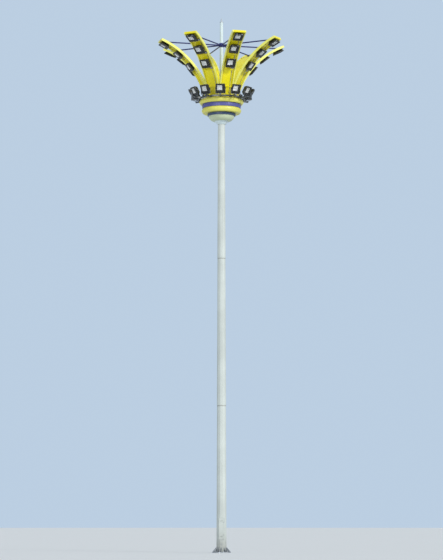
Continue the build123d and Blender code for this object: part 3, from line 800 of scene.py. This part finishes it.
def louvre(z):
    """Pressed hoods, each a thin wedge that opens downwards."""
    wedge = [(0, 0), (-0.006, -0.0095), (-0.0048, -0.0095), (0, -0.0022)]
    tops = [z - i * HOOD_PITCH for i in range(HOODS)]
    return joined([
        skin([[(x, door_front + y, top + h) for y, h in wedge] for x in (-HOOD_HALF, HOOD_HALF)])
        for top in tops
    ])


def earthing_boss():
    face = -(MAST_FOOT - MAST_TAPER * (EARTH_HEIGHT - flange_top)) * math.cos(math.pi / MAST_SIDES)
    boss = lathed([(0.022, -0.004), (0.022, 0.020), (0.020, 0.022)], 24)
    bolt = placed(hex_bolt(0.022, 0.010), (0, 0, 0.022))
    return placed(turned(joined([boss, bolt]), "X", 90), (0.0, face, EARTH_HEIGHT))


louvres = [louvre(door_high.z - 0.09), louvre(door_low.z + 0.17)]
gathered("door_louvre", louvres, mast_paint)
gathered("earthing_boss", [earthing_boss()], zinc)

# %% [markdown]
# ## The mast's welds
# Each section is a sheet folded to a polygon and closed by one weld along its length, and
# the sleeve's lower lip is dressed with a rounded bead. The long weld is a thin ridge that
# follows the tube's taper at the back; the bead is a lathed ring with as many sides as the
# mast, so that it follows the facets.

# %% Long seams and sleeve lips
SEAM_HALF, SEAM_RISE = 0.005, 0.0022
SEAM_MARGIN = 0.004
SEAM_STEPS = 24
SEAM_AZIMUTHS = (180.0, 150.0, 210.0)
LIP = ((-0.004, -0.001), (0.0005, -0.002), (0.0035, 0.002), (0.0035, 0.010), (-0.0005, 0.016),
       (-0.004, 0.016))


def reach(node):
    """How far from the axis and how high each corner of a node lies."""
    return [(math.hypot(v.co.x, v.co.y), v.co.z) for v in nodes[node].data.vertices]


def widest(node, z, near):
    """Largest radius of a node near a height."""
    return max(r for r, height in reach(node) if abs(height - z) < near)


def corner_radius(node, z):
    """Corners' distance from the axis, between those at the section's two ends."""
    low, high = [corner.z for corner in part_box(node)]
    foot, head = widest(node, low, 0.01), widest(node, high, 0.01)
    return foot + (head - foot) * (z - low) / (high - low)


def long_seam(node, azimuth, end):
    """The ridge along one section's back, from its lower lip up to a height."""
    top, half = SEAM_RISE, SEAM_HALF
    ridge = ((-0.001, -half), (top * 0.7, -half * 0.6), (top, 0), (top * 0.7, half * 0.6),
             (-0.001, half))
    flat = math.cos(math.pi / MAST_SIDES)
    heights = spread(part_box(node)[0].z + SEAM_MARGIN, end - SEAM_MARGIN, SEAM_STEPS)
    return swept([(corner_radius(node, z) * flat, z) for z in heights], ridge, azimuth)


def sleeve_lip(node):
    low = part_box(node)[0].z
    return round_section(corner_radius(node, low), low, LIP)


seam_ends = [*lips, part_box("neck_collar")[0].z]
seams = [long_seam(*seam) for seam in zip(SECTIONS, SEAM_AZIMUTHS, seam_ends)]
gathered("mast_seams", seams, mast_paint)
gathered("sleeve_lips", [sleeve_lip(node) for node in SECTIONS[1:]], mast_paint)

# %% [markdown]
# ## The bowl
# The bowl's bands are rolled sheet, bolted to each other through their flanges. Where one
# band meets the next, a strip of rubber keeps the rain out, and a row of bolts runs round
# each wide band. Each band is rolled from several lengths, and a cover strap bridges each
# joint. Rings are lathed from a profile; the ring tree sets the bolts.

# %% Gaskets between the bands
GASKET = 0.007
HALF_ROUND = ((-1, -1), (0.5, -0.8), (1, 0), (0.5, 0.8), (-1, 1))

gaskets = []
for below, above in zip(BANDS, list(BANDS)[1:]):
    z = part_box(above)[0].z
    radius = min(widest(node, z, 0.002) for node in (below, above))
    gaskets.append(bead(radius, z, HALF_ROUND, 96, GASKET))
gathered("bowl_gaskets", gaskets, gasket_rubber)

# %% [markdown]
# A strap has to lie on its band's curved side, whatever that curve is. Rays are sent at the
# band from outside, one for each row of the strap, and the rows stand where they hit. The
# CAD mesh is only read. Its own corners wouldn't do, because they lie in a zigzag.

# %% Bolts and straps on the bands
STRAP_HALF = 0.025
STRAP_RISE = 0.004
STRAP_END = 0.008
STRAP_ROWS = 18
STRAPS = 6
RAY_START = 2.0


def side_of(node):
    """A band's widest radius and the height where it lies."""
    outermost = max(r for r, z in reach(node))
    heights = [z for r, z in reach(node) if r > outermost - 0.0005]
    return outermost, (min(heights) + max(heights)) / 2


def strap(node, azimuth):
    """A cover strap that follows a band's side, felt out by rays from outside."""
    data = nodes[node].data
    side = BVHTree.FromPolygons([v.co for v in data.vertices], [p.vertices for p in data.polygons])
    low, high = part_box(node)
    edge = STRAP_HALF - 0.002
    section = ((-0.003, -STRAP_HALF), (STRAP_RISE, -edge), (STRAP_RISE, edge), (-0.003, STRAP_HALF))
    line = []
    for z in spread(low.z + STRAP_END, high.z - STRAP_END, STRAP_ROWS):
        hit = side.ray_cast(Vector((RAY_START, 0.0, z)), Vector((-1.0, 0.0, 0.0)))[0]
        line.append((hit.x, z))
    return swept(line, section, azimuth)


for node in list(BANDS)[2:]:
    radius, middle = side_of(node)
    count = 48 if radius > 0.9 else 36
    bolts = round_mast(band_bolt, BANDS[node], count, radius - 0.0008, middle, 180.0 / count, 90.0)
    straps = [strap(node, 30.0 + 360.0 / STRAPS * i) for i in range(STRAPS)]
    gathered(node + "_fixings", [bolts, *straps], BANDS[node])

# %% [markdown]
# ## The deck
# The petals stand on welded shoes, each held by four bolts, and the arms of the lamp hoop
# are bolted down between them. The finial pole has a flange of its own with eight bolts and
# small stiffeners. All of them are circles round the mast, so the ring tree sets them.

# %% Deck bolts
SHOE_TOP = DECK_TOP + 0.012
SHOE_BOLTS = ((0.741, 0.15), (0.572, 0.12))
HOOP_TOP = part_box("lamp_ring")[1].z
ARM_BOLTS = (0.855, 0.915)
RING_LAMPS = 12
RING_AZIMUTH = -2.0
RING_LAMP_RADIUS = 1.387
STIRRUP_SEAT = HOOP_TOP + 0.008
STIRRUP_BOLT_RADIUS = RING_LAMP_RADIUS - 0.013
FINIAL_FLANGE = DECK_TOP + 0.016
FINIAL_BOLTS, FINIAL_BOLT_RADIUS = 8, 0.145

shoe_bolts = []
for out, across in SHOE_BOLTS:
    turn = math.degrees(math.atan2(across, out))
    for first in (PETAL_AZIMUTH - turn, PETAL_AZIMUTH + turn):
        radius = math.hypot(out, across)
        shoe_bolts.append(round_mast(deck_bolt, zinc, PETALS, radius, SHOE_TOP, first))
gathered("petal_shoe_bolts", shoe_bolts, zinc)

arm_bolts = [(deck_bolt, radius, HOOP_TOP, 0.0) for radius in ARM_BOLTS]
arm_bolts.append((carriage_bolt, STIRRUP_BOLT_RADIUS, STIRRUP_SEAT, 0.0))
arm_bolts.append((deck_bolt, STIRRUP_BOLT_RADIUS, DECK_TOP, 180.0))
arm_bolts = [round_mast(piece, sooty_zinc, RING_LAMPS, radius, height, RING_AZIMUTH, lean)
             for piece, radius, height, lean in arm_bolts]
gathered("arm_and_stirrup_bolts", arm_bolts, sooty_zinc)

finial_bolts = round_mast(deck_bolt, zinc, FINIAL_BOLTS, FINIAL_BOLT_RADIUS, FINIAL_FLANGE,
                          180.0 / FINIAL_BOLTS)
gathered("finial_flange_bolts", [finial_bolts], zinc)

# %% Finial stiffeners and weld rings
FINIAL_RIBS = 8
POLE_FOOT, POLE_TAPER = 0.098, 0.026 / 3.7
POLE_WELDS = (DECK_TOP + 1.25, DECK_TOP + 2.45)
POLE_BEAD = ((-0.002, -0.007), (0.002, -0.004), (0.003, 0), (0.002, 0.004), (-0.002, 0.007))


def finial_rib(azimuth):
    """A triangular stiffener between the pole and its flange."""
    outline = [(x, FINIAL_FLANGE + up) for x, up in
               ((0.094, 0), (0.172, 0), (0.172, 0.012), (0.104, 0.11), (0.094, 0.11))]
    return moved(cut_out(outline, 0.004), turned_to(azimuth))


def pole_radius(z):
    return POLE_FOOT - POLE_TAPER * (z - DECK_TOP)


ribs = [finial_rib(360 / FINIAL_RIBS * i) for i in range(FINIAL_RIBS)]
gathered("finial_ribs", ribs, white_paint)
welds = [bead(pole_radius(z), z, POLE_BEAD, 32) for z in POLE_WELDS]
gathered("finial_welds", welds, white_paint)

# %% [markdown]
# ## The petals
# The sheet of each petal is held to its rails by rivets, is stiffened by folded ribs across
# the underside, and carries a conduit that feeds its floodlights. All of them follow the
# same arc, which is the rule that the petal tree knows: it steps along the arc by its lean
# and stays a margin in from the petal's edge, wherever that edge is.

# %% Rivets on both faces of the rails
WEB_UNDER, WEB_OVER = ARC_RADIUS - 0.005, ARC_RADIUS + 0.005
RAIL_UNDER, RAIL_OVER = WEB_UNDER - 0.075, WEB_OVER + 0.020
RIVETS = 34
RIVET_LEANS = (FOOT_LEAN + 2.0, TIP_LEAN - 1.2)

under_rivet = as_object("under_rivet_master", turned(dome(0.009, 0.006), "Y", 90))
over_rivet = as_object("over_rivet_master", turned(dome(0.009, 0.006), "Y", -90))
rail_rivets = [
    on_petals(piece, petal_paint, radius, RIVET_LEANS, RIVETS, side=side, margin=RAIL / 2)
    for side in (-1.0, 1.0)
    for piece, radius in ((under_rivet, RAIL_UNDER), (over_rivet, RAIL_OVER))
]
gathered("petal_rivets", rail_rivets, petal_paint)

# %% [markdown]
# The ribs themselves are part of the petals; their folded flanges lie on the sheet, with a
# row of rivets in each. A flange is modelled one metre long, and the tree's Span input
# stretches it to the width between the rails.

# %% Flanges of the ribs across the underside
LAMP_PITCH, LAMP_TIP = 0.825, 0.275
RIB_HALF = 0.023
FLANGE_REACH, FLANGE_SHEET = 0.022, 0.003
FLANGE_RIVETS = (-0.8, -0.48, -0.16, 0.16, 0.48, 0.8)


def lean_at(distance):
    """The lean at a distance from the tip, along the arc."""
    return TIP_LEAN - math.degrees(distance / ARC_RADIUS)


lamp_leans = [lean_at(LAMP_TIP + i * LAMP_PITCH) for i in range(3)]
rib_leans = [lean_at(LAMP_TIP + (i + 0.5) * LAMP_PITCH) for i in range(4)]


def rib_flange(side):
    """A strip beside a rib, one metre long before the tree fits it between the rails."""
    near, far = side * (RIB_HALF - 0.0005), side * (RIB_HALF + FLANGE_REACH)
    back, face = -0.001, FLANGE_SHEET
    return cut_out([(back, near), (back, far), (face - 0.001, far), (face, far - side * 0.001),
                    (face, near)], 0.5)


flanges = []
for side in (-1, 1):
    strip = as_object("rib_flange_master", rib_flange(side))
    rivet_shift = side * math.degrees((RIB_HALF + FLANGE_REACH / 2) / ARC_RADIUS)
    for lean in rib_leans:
        flanges.append(on_petals(strip, petal_paint, WEB_UNDER, [lean], margin=RAIL, span=1.0))
        flanges += [
            on_petals(under_rivet, petal_paint, WEB_UNDER - FLANGE_SHEET + 0.0003,
                      [lean + rivet_shift], side=place, margin=RAIL)
            for place in FLANGE_RIVETS
        ]
gathered("petal_rib_flanges", flanges, petal_paint)
print("lamps at leans", [round(a, 1) for a in lamp_leans], "ribs", [round(a, 1) for a in rib_leans])

# %% [markdown]
# A steel conduit runs up each petal to its three floodlights, held by saddles, with a
# junction box beside each floodlight. The pipe is a tube swept along the arc,
# because one long smooth tube needs no copies; saddles and boxes come from the tree.

# %% Conduits
CONDUIT, CONDUIT_SIDE = 0.011, 0.170
CONDUIT_STEPS, CONDUIT_FACETS = 44, 8
foot_of_pipe, end_of_pipe = FOOT_LEAN + 2.5, lamp_leans[0] - 4.6


def on_arc(radius, lean):
    """Distance from the mast and height of a point at a lean along the petals' arc."""
    turn = math.radians(lean)
    return ARC_R - radius * math.cos(turn), ARC_Z + radius * math.sin(turn)


def petal_matrix(number):
    return Matrix.Rotation(FIRST_PETAL + number * PETAL_STEP, 4, "Z")


def conduit(number):
    rings = []
    for lean in spread(foot_of_pipe, end_of_pipe, CONDUIT_STEPS):
        ring = []
        for j in range(CONDUIT_FACETS):
            turn = 2 * math.pi * j / CONDUIT_FACETS
            x, z = on_arc(WEB_UNDER - CONDUIT * (1.0 - math.cos(turn)), lean)
            ring.append((x, CONDUIT_SIDE + CONDUIT * math.sin(turn), z))
        rings.append(ring)
    return moved(skin(rings), petal_matrix(number))


gathered("petal_conduits", [conduit(n) for n in range(PETALS)], zinc)

# %% Saddles and junction boxes
SEAT = WEB_UNDER - 0.0003
SADDLES = 9


def bolted(base, bolt, up, corners, axis_turn):
    """A plate or lid with a bolt near each corner, on the side that it shows."""
    y, z = corners
    bolts = [placed(turned(hex_bolt(*bolt), "Y", axis_turn), (up, a * y, b * z))
             for a in (-1, 1) for b in (-1, 1)]
    return joined([base, *bolts])


saddle_block = block(2 * CONDUIT + 0.003, 0.046, 0.020, (CONDUIT + 0.0005, 0, 0), 0.004)
saddle = as_object("saddle_master", saddle_block)
box_block = block(0.046, 0.105, 0.090, (0.023, 0, 0), 0.007)
box_block = bolted(box_block, (0.009, 0.004), 0.0455, (0.038, 0.031), 90)
box = as_object("junction_box_master", box_block)
fixed = [on_petals(box, zinc, SEAT, [lean - 4.5], shift=CONDUIT_SIDE) for lean in lamp_leans]
saddle_leans = (FOOT_LEAN + 4.0, lamp_leans[0] - 8.0)
fixed.append(on_petals(saddle, zinc, SEAT, saddle_leans, SADDLES, shift=CONDUIT_SIDE))
gathered("conduit_saddles_and_boxes", fixed, zinc)

# %% [markdown]
# ## The spider's ends
# Each bar of the spider is welded to a plate that is bolted through the petal's sheet. The
# hub has a rounded cap above and below, where it is welded to the pole, and each bar stands
# in a short tapered collar.

# %% End plates, hub caps and collars
HUB_RADIUS, HUB_HALF = 0.125, 0.075
TIE_TO_TIP = 0.2235
tie_lean = lean_at(TIE_TO_TIP)
TIE_Z = on_arc(WEB_OVER, tie_lean)[1]
pole = pole_radius(TIE_Z)

plate_block = block(0.010, 0.130, 0.260, (-0.004, 0, 0), 0.003)
plate_block = bolted(plate_block, (0.019, 0.009), -0.009, (0.048, 0.105), -90)
plate = as_object("tie_plate_master", plate_block)
plates = on_petals(plate, navy_paint, WEB_OVER, [tie_lean])
gathered("tie_plates", [plates], navy_paint)


def hub_cap(side):
    profile = ((pole + 0.001, -0.004), (HUB_RADIUS - 0.002, -0.004), (HUB_RADIUS - 0.012, 0.009),
               (pole + 0.020, 0.022), (pole + 0.001, 0.022))
    return lathed([(r, TIE_Z + side * (HUB_HALF + up)) for r, up in profile], 48, ring=True)


def collar(number):
    ring = bead(0, 0, ((0.029, 0), (0.038, 0), (0.035, 0.012), (0.029, 0.016)), 24)
    ring = placed(turned(ring, "Y", 90), (HUB_RADIUS - 0.004, 0, TIE_Z))
    return moved(ring, petal_matrix(number))


hub = [hub_cap(-1), hub_cap(1), *[collar(n) for n in range(PETALS)]]
gathered("spider_hub_caps", hub, navy_paint)

# %% [markdown]
# ## The floodlights
# Thirty-six square floodlights are the same casting: a front frame with the window set
# towards one corner, a body that narrows to the back, and cooling fins. The CAD housing is
# plain, so a finer one replaces it. It is a skin over a row of rounded squares, from the
# back of the hollow, round the window and over the front, and down the body to the back.
# One lamp is made at the local origin and then placed by a matrix, as the CAD does.

# %% Rounded squares
LAMP = 0.450
LAMP_FRONT, LAMP_BACK = 0.070, -0.082
WINDOW_SHIFT = 0.035
GLASS_FRONT, GLASS_BACK = 0.058, 0.052
CORNER_STEPS = 4


def rounded_square(x, half, radius, shifted=0.0):
    """Points round a square that stands across X, its centre towards the upper left."""
    points = []
    for cy, cz, start in ((1, 1, 0), (-1, 1, 90), (-1, -1, 180), (1, -1, 270)):
        for k in range(CORNER_STEPS + 1):
            turn = math.radians(start + 90 * k / CORNER_STEPS)
            y = cy * (half - radius) + radius * math.cos(turn)
            z = cz * (half - radius) + radius * math.sin(turn)
            points.append((x, y - shifted, z + shifted))
    return points


def in_window(rows, round_trip=False):
    """A frame, tray or pane round the window's middle."""
    return skin([rounded_square(*row, WINDOW_SHIFT) for row in rows], round_trip)


# %% The casting
def housing():
    """Rows of place along X, half width, corner radius and, at the window, its shift."""
    half, window, s = LAMP / 2, 0.150, WINDOW_SHIFT
    body = half - 0.005
    rear = body - (0.028 - LAMP_BACK) * math.tan(math.radians(24))
    return skin([rounded_square(*row) for row in (
        (-0.074, rear - 0.010, 0.022),
        (0.026, half - 0.014, 0.022),
        (0.030, half - 0.010, 0.022),
        (0.046, half - 0.010, 0.022),
        (0.0475, window + 0.004, 0.014, s),
        (GLASS_BACK - 0.0005, window + 0.004, 0.014, s),
        (GLASS_BACK - 0.0002, window + 0.0145, 0.014, s),
        (GLASS_FRONT + 0.0002, window + 0.0145, 0.014, s),
        (GLASS_FRONT + 0.0004, window, 0.012, s),
        (LAMP_FRONT - 0.003, window + 0.001, 0.012, s),
        (LAMP_FRONT, window + 0.005, 0.014, s),
        (LAMP_FRONT, half - 0.010, 0.022),
        (LAMP_FRONT - 0.0025, half - 0.003, 0.026),
        (LAMP_FRONT - 0.009, half, 0.028),
        (0.0475, half, 0.028),
        (0.0465, half - 0.003, 0.026),
        (0.0445, half - 0.003, 0.026),
        (0.0435, half, 0.028),
        (0.0295, half, 0.028),
        (0.028, half - 0.0015, 0.027),
        (0.0275, body, 0.026),
        (LAMP_BACK + 0.006, rear + 0.0025, 0.030),
        (LAMP_BACK, rear - 0.004, 0.028),
    )])


# %% Cooling fins
FINS, FIN_PITCH = 9, 0.030


def fin(y):
    """A cooling fin with a little draft and a rounded back edge."""
    tip = LAMP_BACK - 0.050
    rows = ((LAMP_BACK + 0.004, 0.00432, 0.150), (tip + 0.008, 0.0032, 0.146),
            (tip + 0.001, 0.00272, 0.138), (tip, 0.0016, 0.134))
    corners = ((-1, -1), (1, -1), (1, 1), (-1, 1))
    return skin([[(x, y + a * thick, b * tall) for a, b in corners] for x, thick, tall in rows])


casting = joined([housing(), *[fin((i - FINS // 2) * FIN_PITCH) for i in range(FINS)]])
print("one casting", len(casting.faces), "faces")

# %% [markdown]
# What shows through the window is a tray of bright sheet, stepped like the real pressing,
# with a double-ended lamp across it. The pane lies in a rubber gasket, and a black border
# is fired onto its front, so that the bright part is about half as wide as the housing.

# %% Behind and round the glass
BORDER_OUTER, BORDER_INNER = 0.1485, 0.1190
TRAY_STEPS = 6


def reflector():
    """A stepped tray of bright sheet, thick enough to have an outside."""
    inside = [
        (0.0455 - 0.098 * math.sin(turn), 0.153 - 0.078 * (1 - math.cos(turn)), 0.016)
        for turn in spread(0.0, math.pi / 2, TRAY_STEPS)
    ]
    outside = [(x - 0.0012, half + 0.0012, corner) for x, half, corner in inside[::-1]]
    return in_window([*outside, *inside])


def lamp_and_holders():
    """A double-ended lamp across the tray, with a ceramic holder at each end."""
    tube = [(0, -0.075), (0.010, -0.072), (0.016, -0.060),
            (0.016, 0.060), (0.010, 0.072), (0, 0.075)]
    holders = [[(0.021, side * 0.070), (0.021, side * 0.112)] for side in (-1, 1)]
    lamp = joined([lathed(tube, 16), *[lathed(holder, 12) for holder in holders]])
    return placed(turned(lamp, "X", 90), (-0.012, -WINDOW_SHIFT, WINDOW_SHIFT))


def window_gasket():
    return in_window([(0.0585, 0.1500, 0.012), (0.0585, 0.1465, 0.010),
                      (0.0600, 0.1460, 0.010), (0.0618, 0.1500, 0.012)], round_trip=True)


def printed_border():
    front, back = GLASS_FRONT + 0.0009, GLASS_FRONT + 0.0002
    return in_window([(front, BORDER_OUTER, 0.013), (front, BORDER_INNER, 0.012),
                      (back, BORDER_INNER, 0.012), (back, BORDER_OUTER, 0.013)], round_trip=True)


pane = in_window([(GLASS_BACK, 0.1630, 0.013), (GLASS_BACK + 0.0008, 0.1638, 0.013),
                  (GLASS_FRONT - 0.0008, 0.1638, 0.013), (GLASS_FRONT, 0.1630, 0.013)])
print("pane", len(pane.faces), "faces")

# %% [markdown]
# Small metal parts finish the floodlight: a gland where a cable would come in, two toggles
# over the joint between frame and body, and the screws that hold the frame. Each is turned
# or cut once near the origin, and every floodlight takes a copy.

# %% Gland, latches and screws
LATCH_SIDE = 0.120
SCREW = 0.205
SCREWS = ((-SCREW, -SCREW), (-SCREW, SCREW), (SCREW, -SCREW), (SCREW, SCREW),
          (SCREW, 0.0), (0.0, -SCREW), (0.160, -0.160))


def gland():
    """A hexagonal cable gland under the body."""
    body = lathed([(0.017, 0.006), (0.017, -0.010), (0.014, -0.012), (0.014, -0.026),
                   (0.011, -0.031)], 6)
    return placed(body, (-0.020, 0.105, -LAMP / 2 + 0.020))


def latch(y):
    """A sheet-steel toggle over the joint between frame and body, on the top edge."""
    strip = block(0.052, 0.036, 0.004, (0.046, y, LAMP / 2 + 0.0005), 0.0015)
    roll = turned(lathed([(0.005, -0.019), (0.005, 0.019)], 12), "X", 90)
    return joined([strip, placed(roll, (0.0665, y, LAMP / 2 - 0.0005))])


def cap_screw(y, z):
    """A socket-head screw that holds the front frame."""
    mesh = lathed([(0.0075, 0.0), (0.0075, 0.004), (0.0065, 0.0052), (0.0035, 0.0052),
                   (0.0035, 0.0022)], 12)
    return placed(turned(mesh, "Y", 90), (LAMP_FRONT - 0.0004, y, z))


FITTING_FINISHES = [zinc, reflector_sheet, lamp_tube, gasket_rubber]
metal = [gland(), latch(-LATCH_SIDE), latch(LATCH_SIDE), *[cap_screw(*at) for at in SCREWS]]
fittings = joined([
    marked(reflector(), 1),
    marked(lamp_and_holders(), 2),
    marked(window_gasket(), 3),
    marked(printed_border(), 3),
    *[marked(mesh, 0) for mesh in metal],
])
print("fittings of one lamp", len(fittings.faces), "faces")

# %% [markdown]
# The ring's floodlights hang between two stirrup legs. Each side of the casting has a
# machined pad, a pivot bolt through the leg, and a hexagonal head outside. They are part of
# the casting's piece here, because they swing with it.

# %% Pivot pads and bolts
STIRRUP_OUTER = LAMP / 2 + 0.016


def pivot(side):
    pad = block(0.050, 0.036, 0.050, (0, side * (LAMP / 2 - 0.011), 0), 0.004)
    head = hex_bolt(0.024, 0.0068, washer=1.22, seat=0.12)
    head = placed(head, (0, 0, STIRRUP_OUTER - LAMP / 2 + 0.001))
    pin = joined([lathed([(0.0098, 0.0), (0.0098, 0.030)], 16), head])
    return joined([pad, placed(turned(pin, "X", -side * 90), (0, side * LAMP / 2, 0))])


ring_casting = joined([casting.copy(), pivot(-1), pivot(1)])
print("ring casting", len(ring_casting.faces), "faces")

# %% The twelve on the ring
PIVOT_HEIGHT = math.hypot(LAMP_FRONT, LAMP / 2) + 0.009 + 0.008
RING_TILT = 30.0


def leant(out, up, lean):
    """Stands a lamp at a place on the +X side and leans its front down."""
    return Matrix.Translation((out, 0, up)) @ Matrix.Rotation(math.radians(lean), 4, "Y")


def hang(node, body, source, places, endings):
    """A node's floodlights: castings, panes and fittings, each one piece."""
    for ending, mesh, materials, slot in (
        (endings[0], source, [black_casting], "lamp_casting"),
        (endings[1], pane, [glass_pane], None),
        ("_fittings", fittings, FITTING_FINISHES, None),
    ):
        whole = joined([moved(mesh.copy(), place) for place in places])
        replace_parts(finished(node + ending, whole, materials, body), node)


for number in range(RING_LAMPS):
    stand = leant(RING_LAMP_RADIUS, HOOP_TOP + PIVOT_HEIGHT, RING_TILT)
    place = turned_to(RING_AZIMUTH + 360.0 / RING_LAMPS * number) @ stand
    hang(f"ring_lamp_{number + 1}", f"lamp_{number + 1}", ring_casting, [place],
         ("_casting", "_glass"))
print("ring floodlights", RING_LAMPS)

# %% [markdown]
# The petals' floodlights don't tilt: each stands on two cast feet that are bolted through
# the sheet. Their three places follow from the distance to the tip, measured along the arc.

# %% The twenty-four on the petals
FOOT_STAND = 0.060
FOOT_SIDE = 0.120
FOOT_BOLT = 0.123
LAMP_ARC = WEB_UNDER - FOOT_STAND + LAMP_BACK


def lamp_foot(z):
    """A cast foot with a flange on the sheet and two bolts."""
    low, high = LAMP_BACK + 0.003, LAMP_BACK - FOOT_STAND
    stand = block(low - high, 0.236, 0.026, ((low + high) / 2, 0, z), 0.004)
    flange = block(0.007, 0.260, 0.050, (high + 0.0037, 0, z), 0.0025)
    bolts = [placed(turned(hex_bolt(0.015, 0.006), "Y", 90), (high + 0.0068, y, z))
             for y in (-FOOT_BOLT, FOOT_BOLT)]
    return joined([stand, flange, *bolts])


petal_casting = joined([casting.copy(), lamp_foot(-FOOT_SIDE), lamp_foot(FOOT_SIDE)])
for number in range(PETALS):
    places = [petal_matrix(number) @ leant(*on_arc(LAMP_ARC, lean), lean) for lean in lamp_leans]
    hang(f"petal_lamps_{number + 1}", ROOT, petal_casting, places, ("_castings", "_glasses"))
print("petal floodlights", PETALS * len(lamp_leans))

# %% [markdown]
# ## The stage, the light and the camera
# The photo was taken from the ground, far back, with a long lens, so the mast's lines stay
# almost parallel. The sun comes softly from the right and the front, and the sky fills the
# shadows. The camera, glossy and transmitted rays see a plain pale background; the rest of
# the light comes from a dimmer world, so that colours render about as they are written. The
# background is a pale blue-grey, because the pale mast would be lost against white.

# %% Floor
FLOOR_RADIUS, FLOOR_TOP, FLOOR_BASE = 260.0, -0.001, -0.30
concrete = (0.72, 0.74, 0.75), (0.76, 0.78, 0.79)
floor_finish = two_toned("floor_finish", 0.8, concrete, 0.75, 0.1)[0]
rim = [(FLOOR_RADIUS, FLOOR_BASE), (FLOOR_RADIUS, FLOOR_TOP)]
floor = as_object("floor", lathed(rim, 64))
floor.data.materials.append(floor_finish.material)
bpy.context.scene.collection.objects.link(floor)
print("floor radius", FLOOR_RADIUS)


# %% Sun and fill
def light_from(name, azimuth, height, energy, softness, colour):
    """A distant light from an azimuth and a height above the horizon, in degrees."""
    data = bpy.data.lights.new(name, "SUN")
    data.energy = energy
    data.angle = math.radians(softness)
    data.color = colour
    turn, rise = math.radians(azimuth - 90), math.radians(height)
    level = math.cos(rise)
    source = Vector((math.cos(turn) * level, math.sin(turn) * level, math.sin(rise)))
    light = bpy.data.objects.new(name, data)
    light.rotation_euler = source.to_track_quat("Z", "Y").to_euler()
    bpy.context.scene.collection.objects.link(light)


light_from("sun", 46.0, 26.0, 2.3, 8.0, (1.0, 0.98, 0.94))
light_from("front_fill", -24.0, 4.0, 1.05, 25.0, (0.95, 0.97, 1.0))
print("lights", [light.name for light in bpy.data.lights])

# %% Sky
SKY_LIGHT, SKY_STRENGTH = (0.86, 0.93, 1.0), 0.55
BACKDROP = (0.50, 0.62, 0.76)
world = bpy.data.worlds.new("pale_sky")
world.use_nodes = True
bpy.context.scene.world = world
sky = Nodes(world.node_tree)
ray = sky.node("ShaderNodeLightPath").outputs
seen = sky.math("MAXIMUM", ray["Is Camera Ray"], ray["Is Glossy Ray"])
seen = seen.math("MAXIMUM", ray["Is Transmission Ray"])
light = sky.node("ShaderNodeBackground", {"Color": SKY_LIGHT, "Strength": SKY_STRENGTH})
backdrop = sky.node("ShaderNodeBackground", {"Color": BACKDROP, "Strength": 1.0})
choice = sky.node("ShaderNodeMixShader", {0: seen, 1: light.outputs[0], 2: backdrop.outputs[0]})
sky.node("ShaderNodeOutputWorld", {"Surface": choice.outputs[0]})
print("sky nodes", len(world.node_tree.nodes))

# %% Camera
CAMERA_DISTANCE = 104.0
EYE_HEIGHT = 1.6
AIM_HEIGHT = 12.6
FOCAL_LENGTH, SENSOR = 144.5, 36.0
camera_data = bpy.data.cameras.new("camera")
camera_data.lens = FOCAL_LENGTH
camera_data.sensor_width = SENSOR
camera_data.clip_end = 1000.0
camera = bpy.data.objects.new("camera", camera_data)
camera.location = (0.0, -CAMERA_DISTANCE, EYE_HEIGHT)
aim = Vector((0.0, 0.0, AIM_HEIGHT)) - camera.location
camera.rotation_euler = aim.to_track_quat("-Z", "Y").to_euler()
bpy.context.scene.collection.objects.link(camera)
bpy.context.scene.camera = camera
bpy.context.scene.view_settings.view_transform = "Standard"
print("camera", CAMERA_DISTANCE, "m away with", FOCAL_LENGTH, "mm")
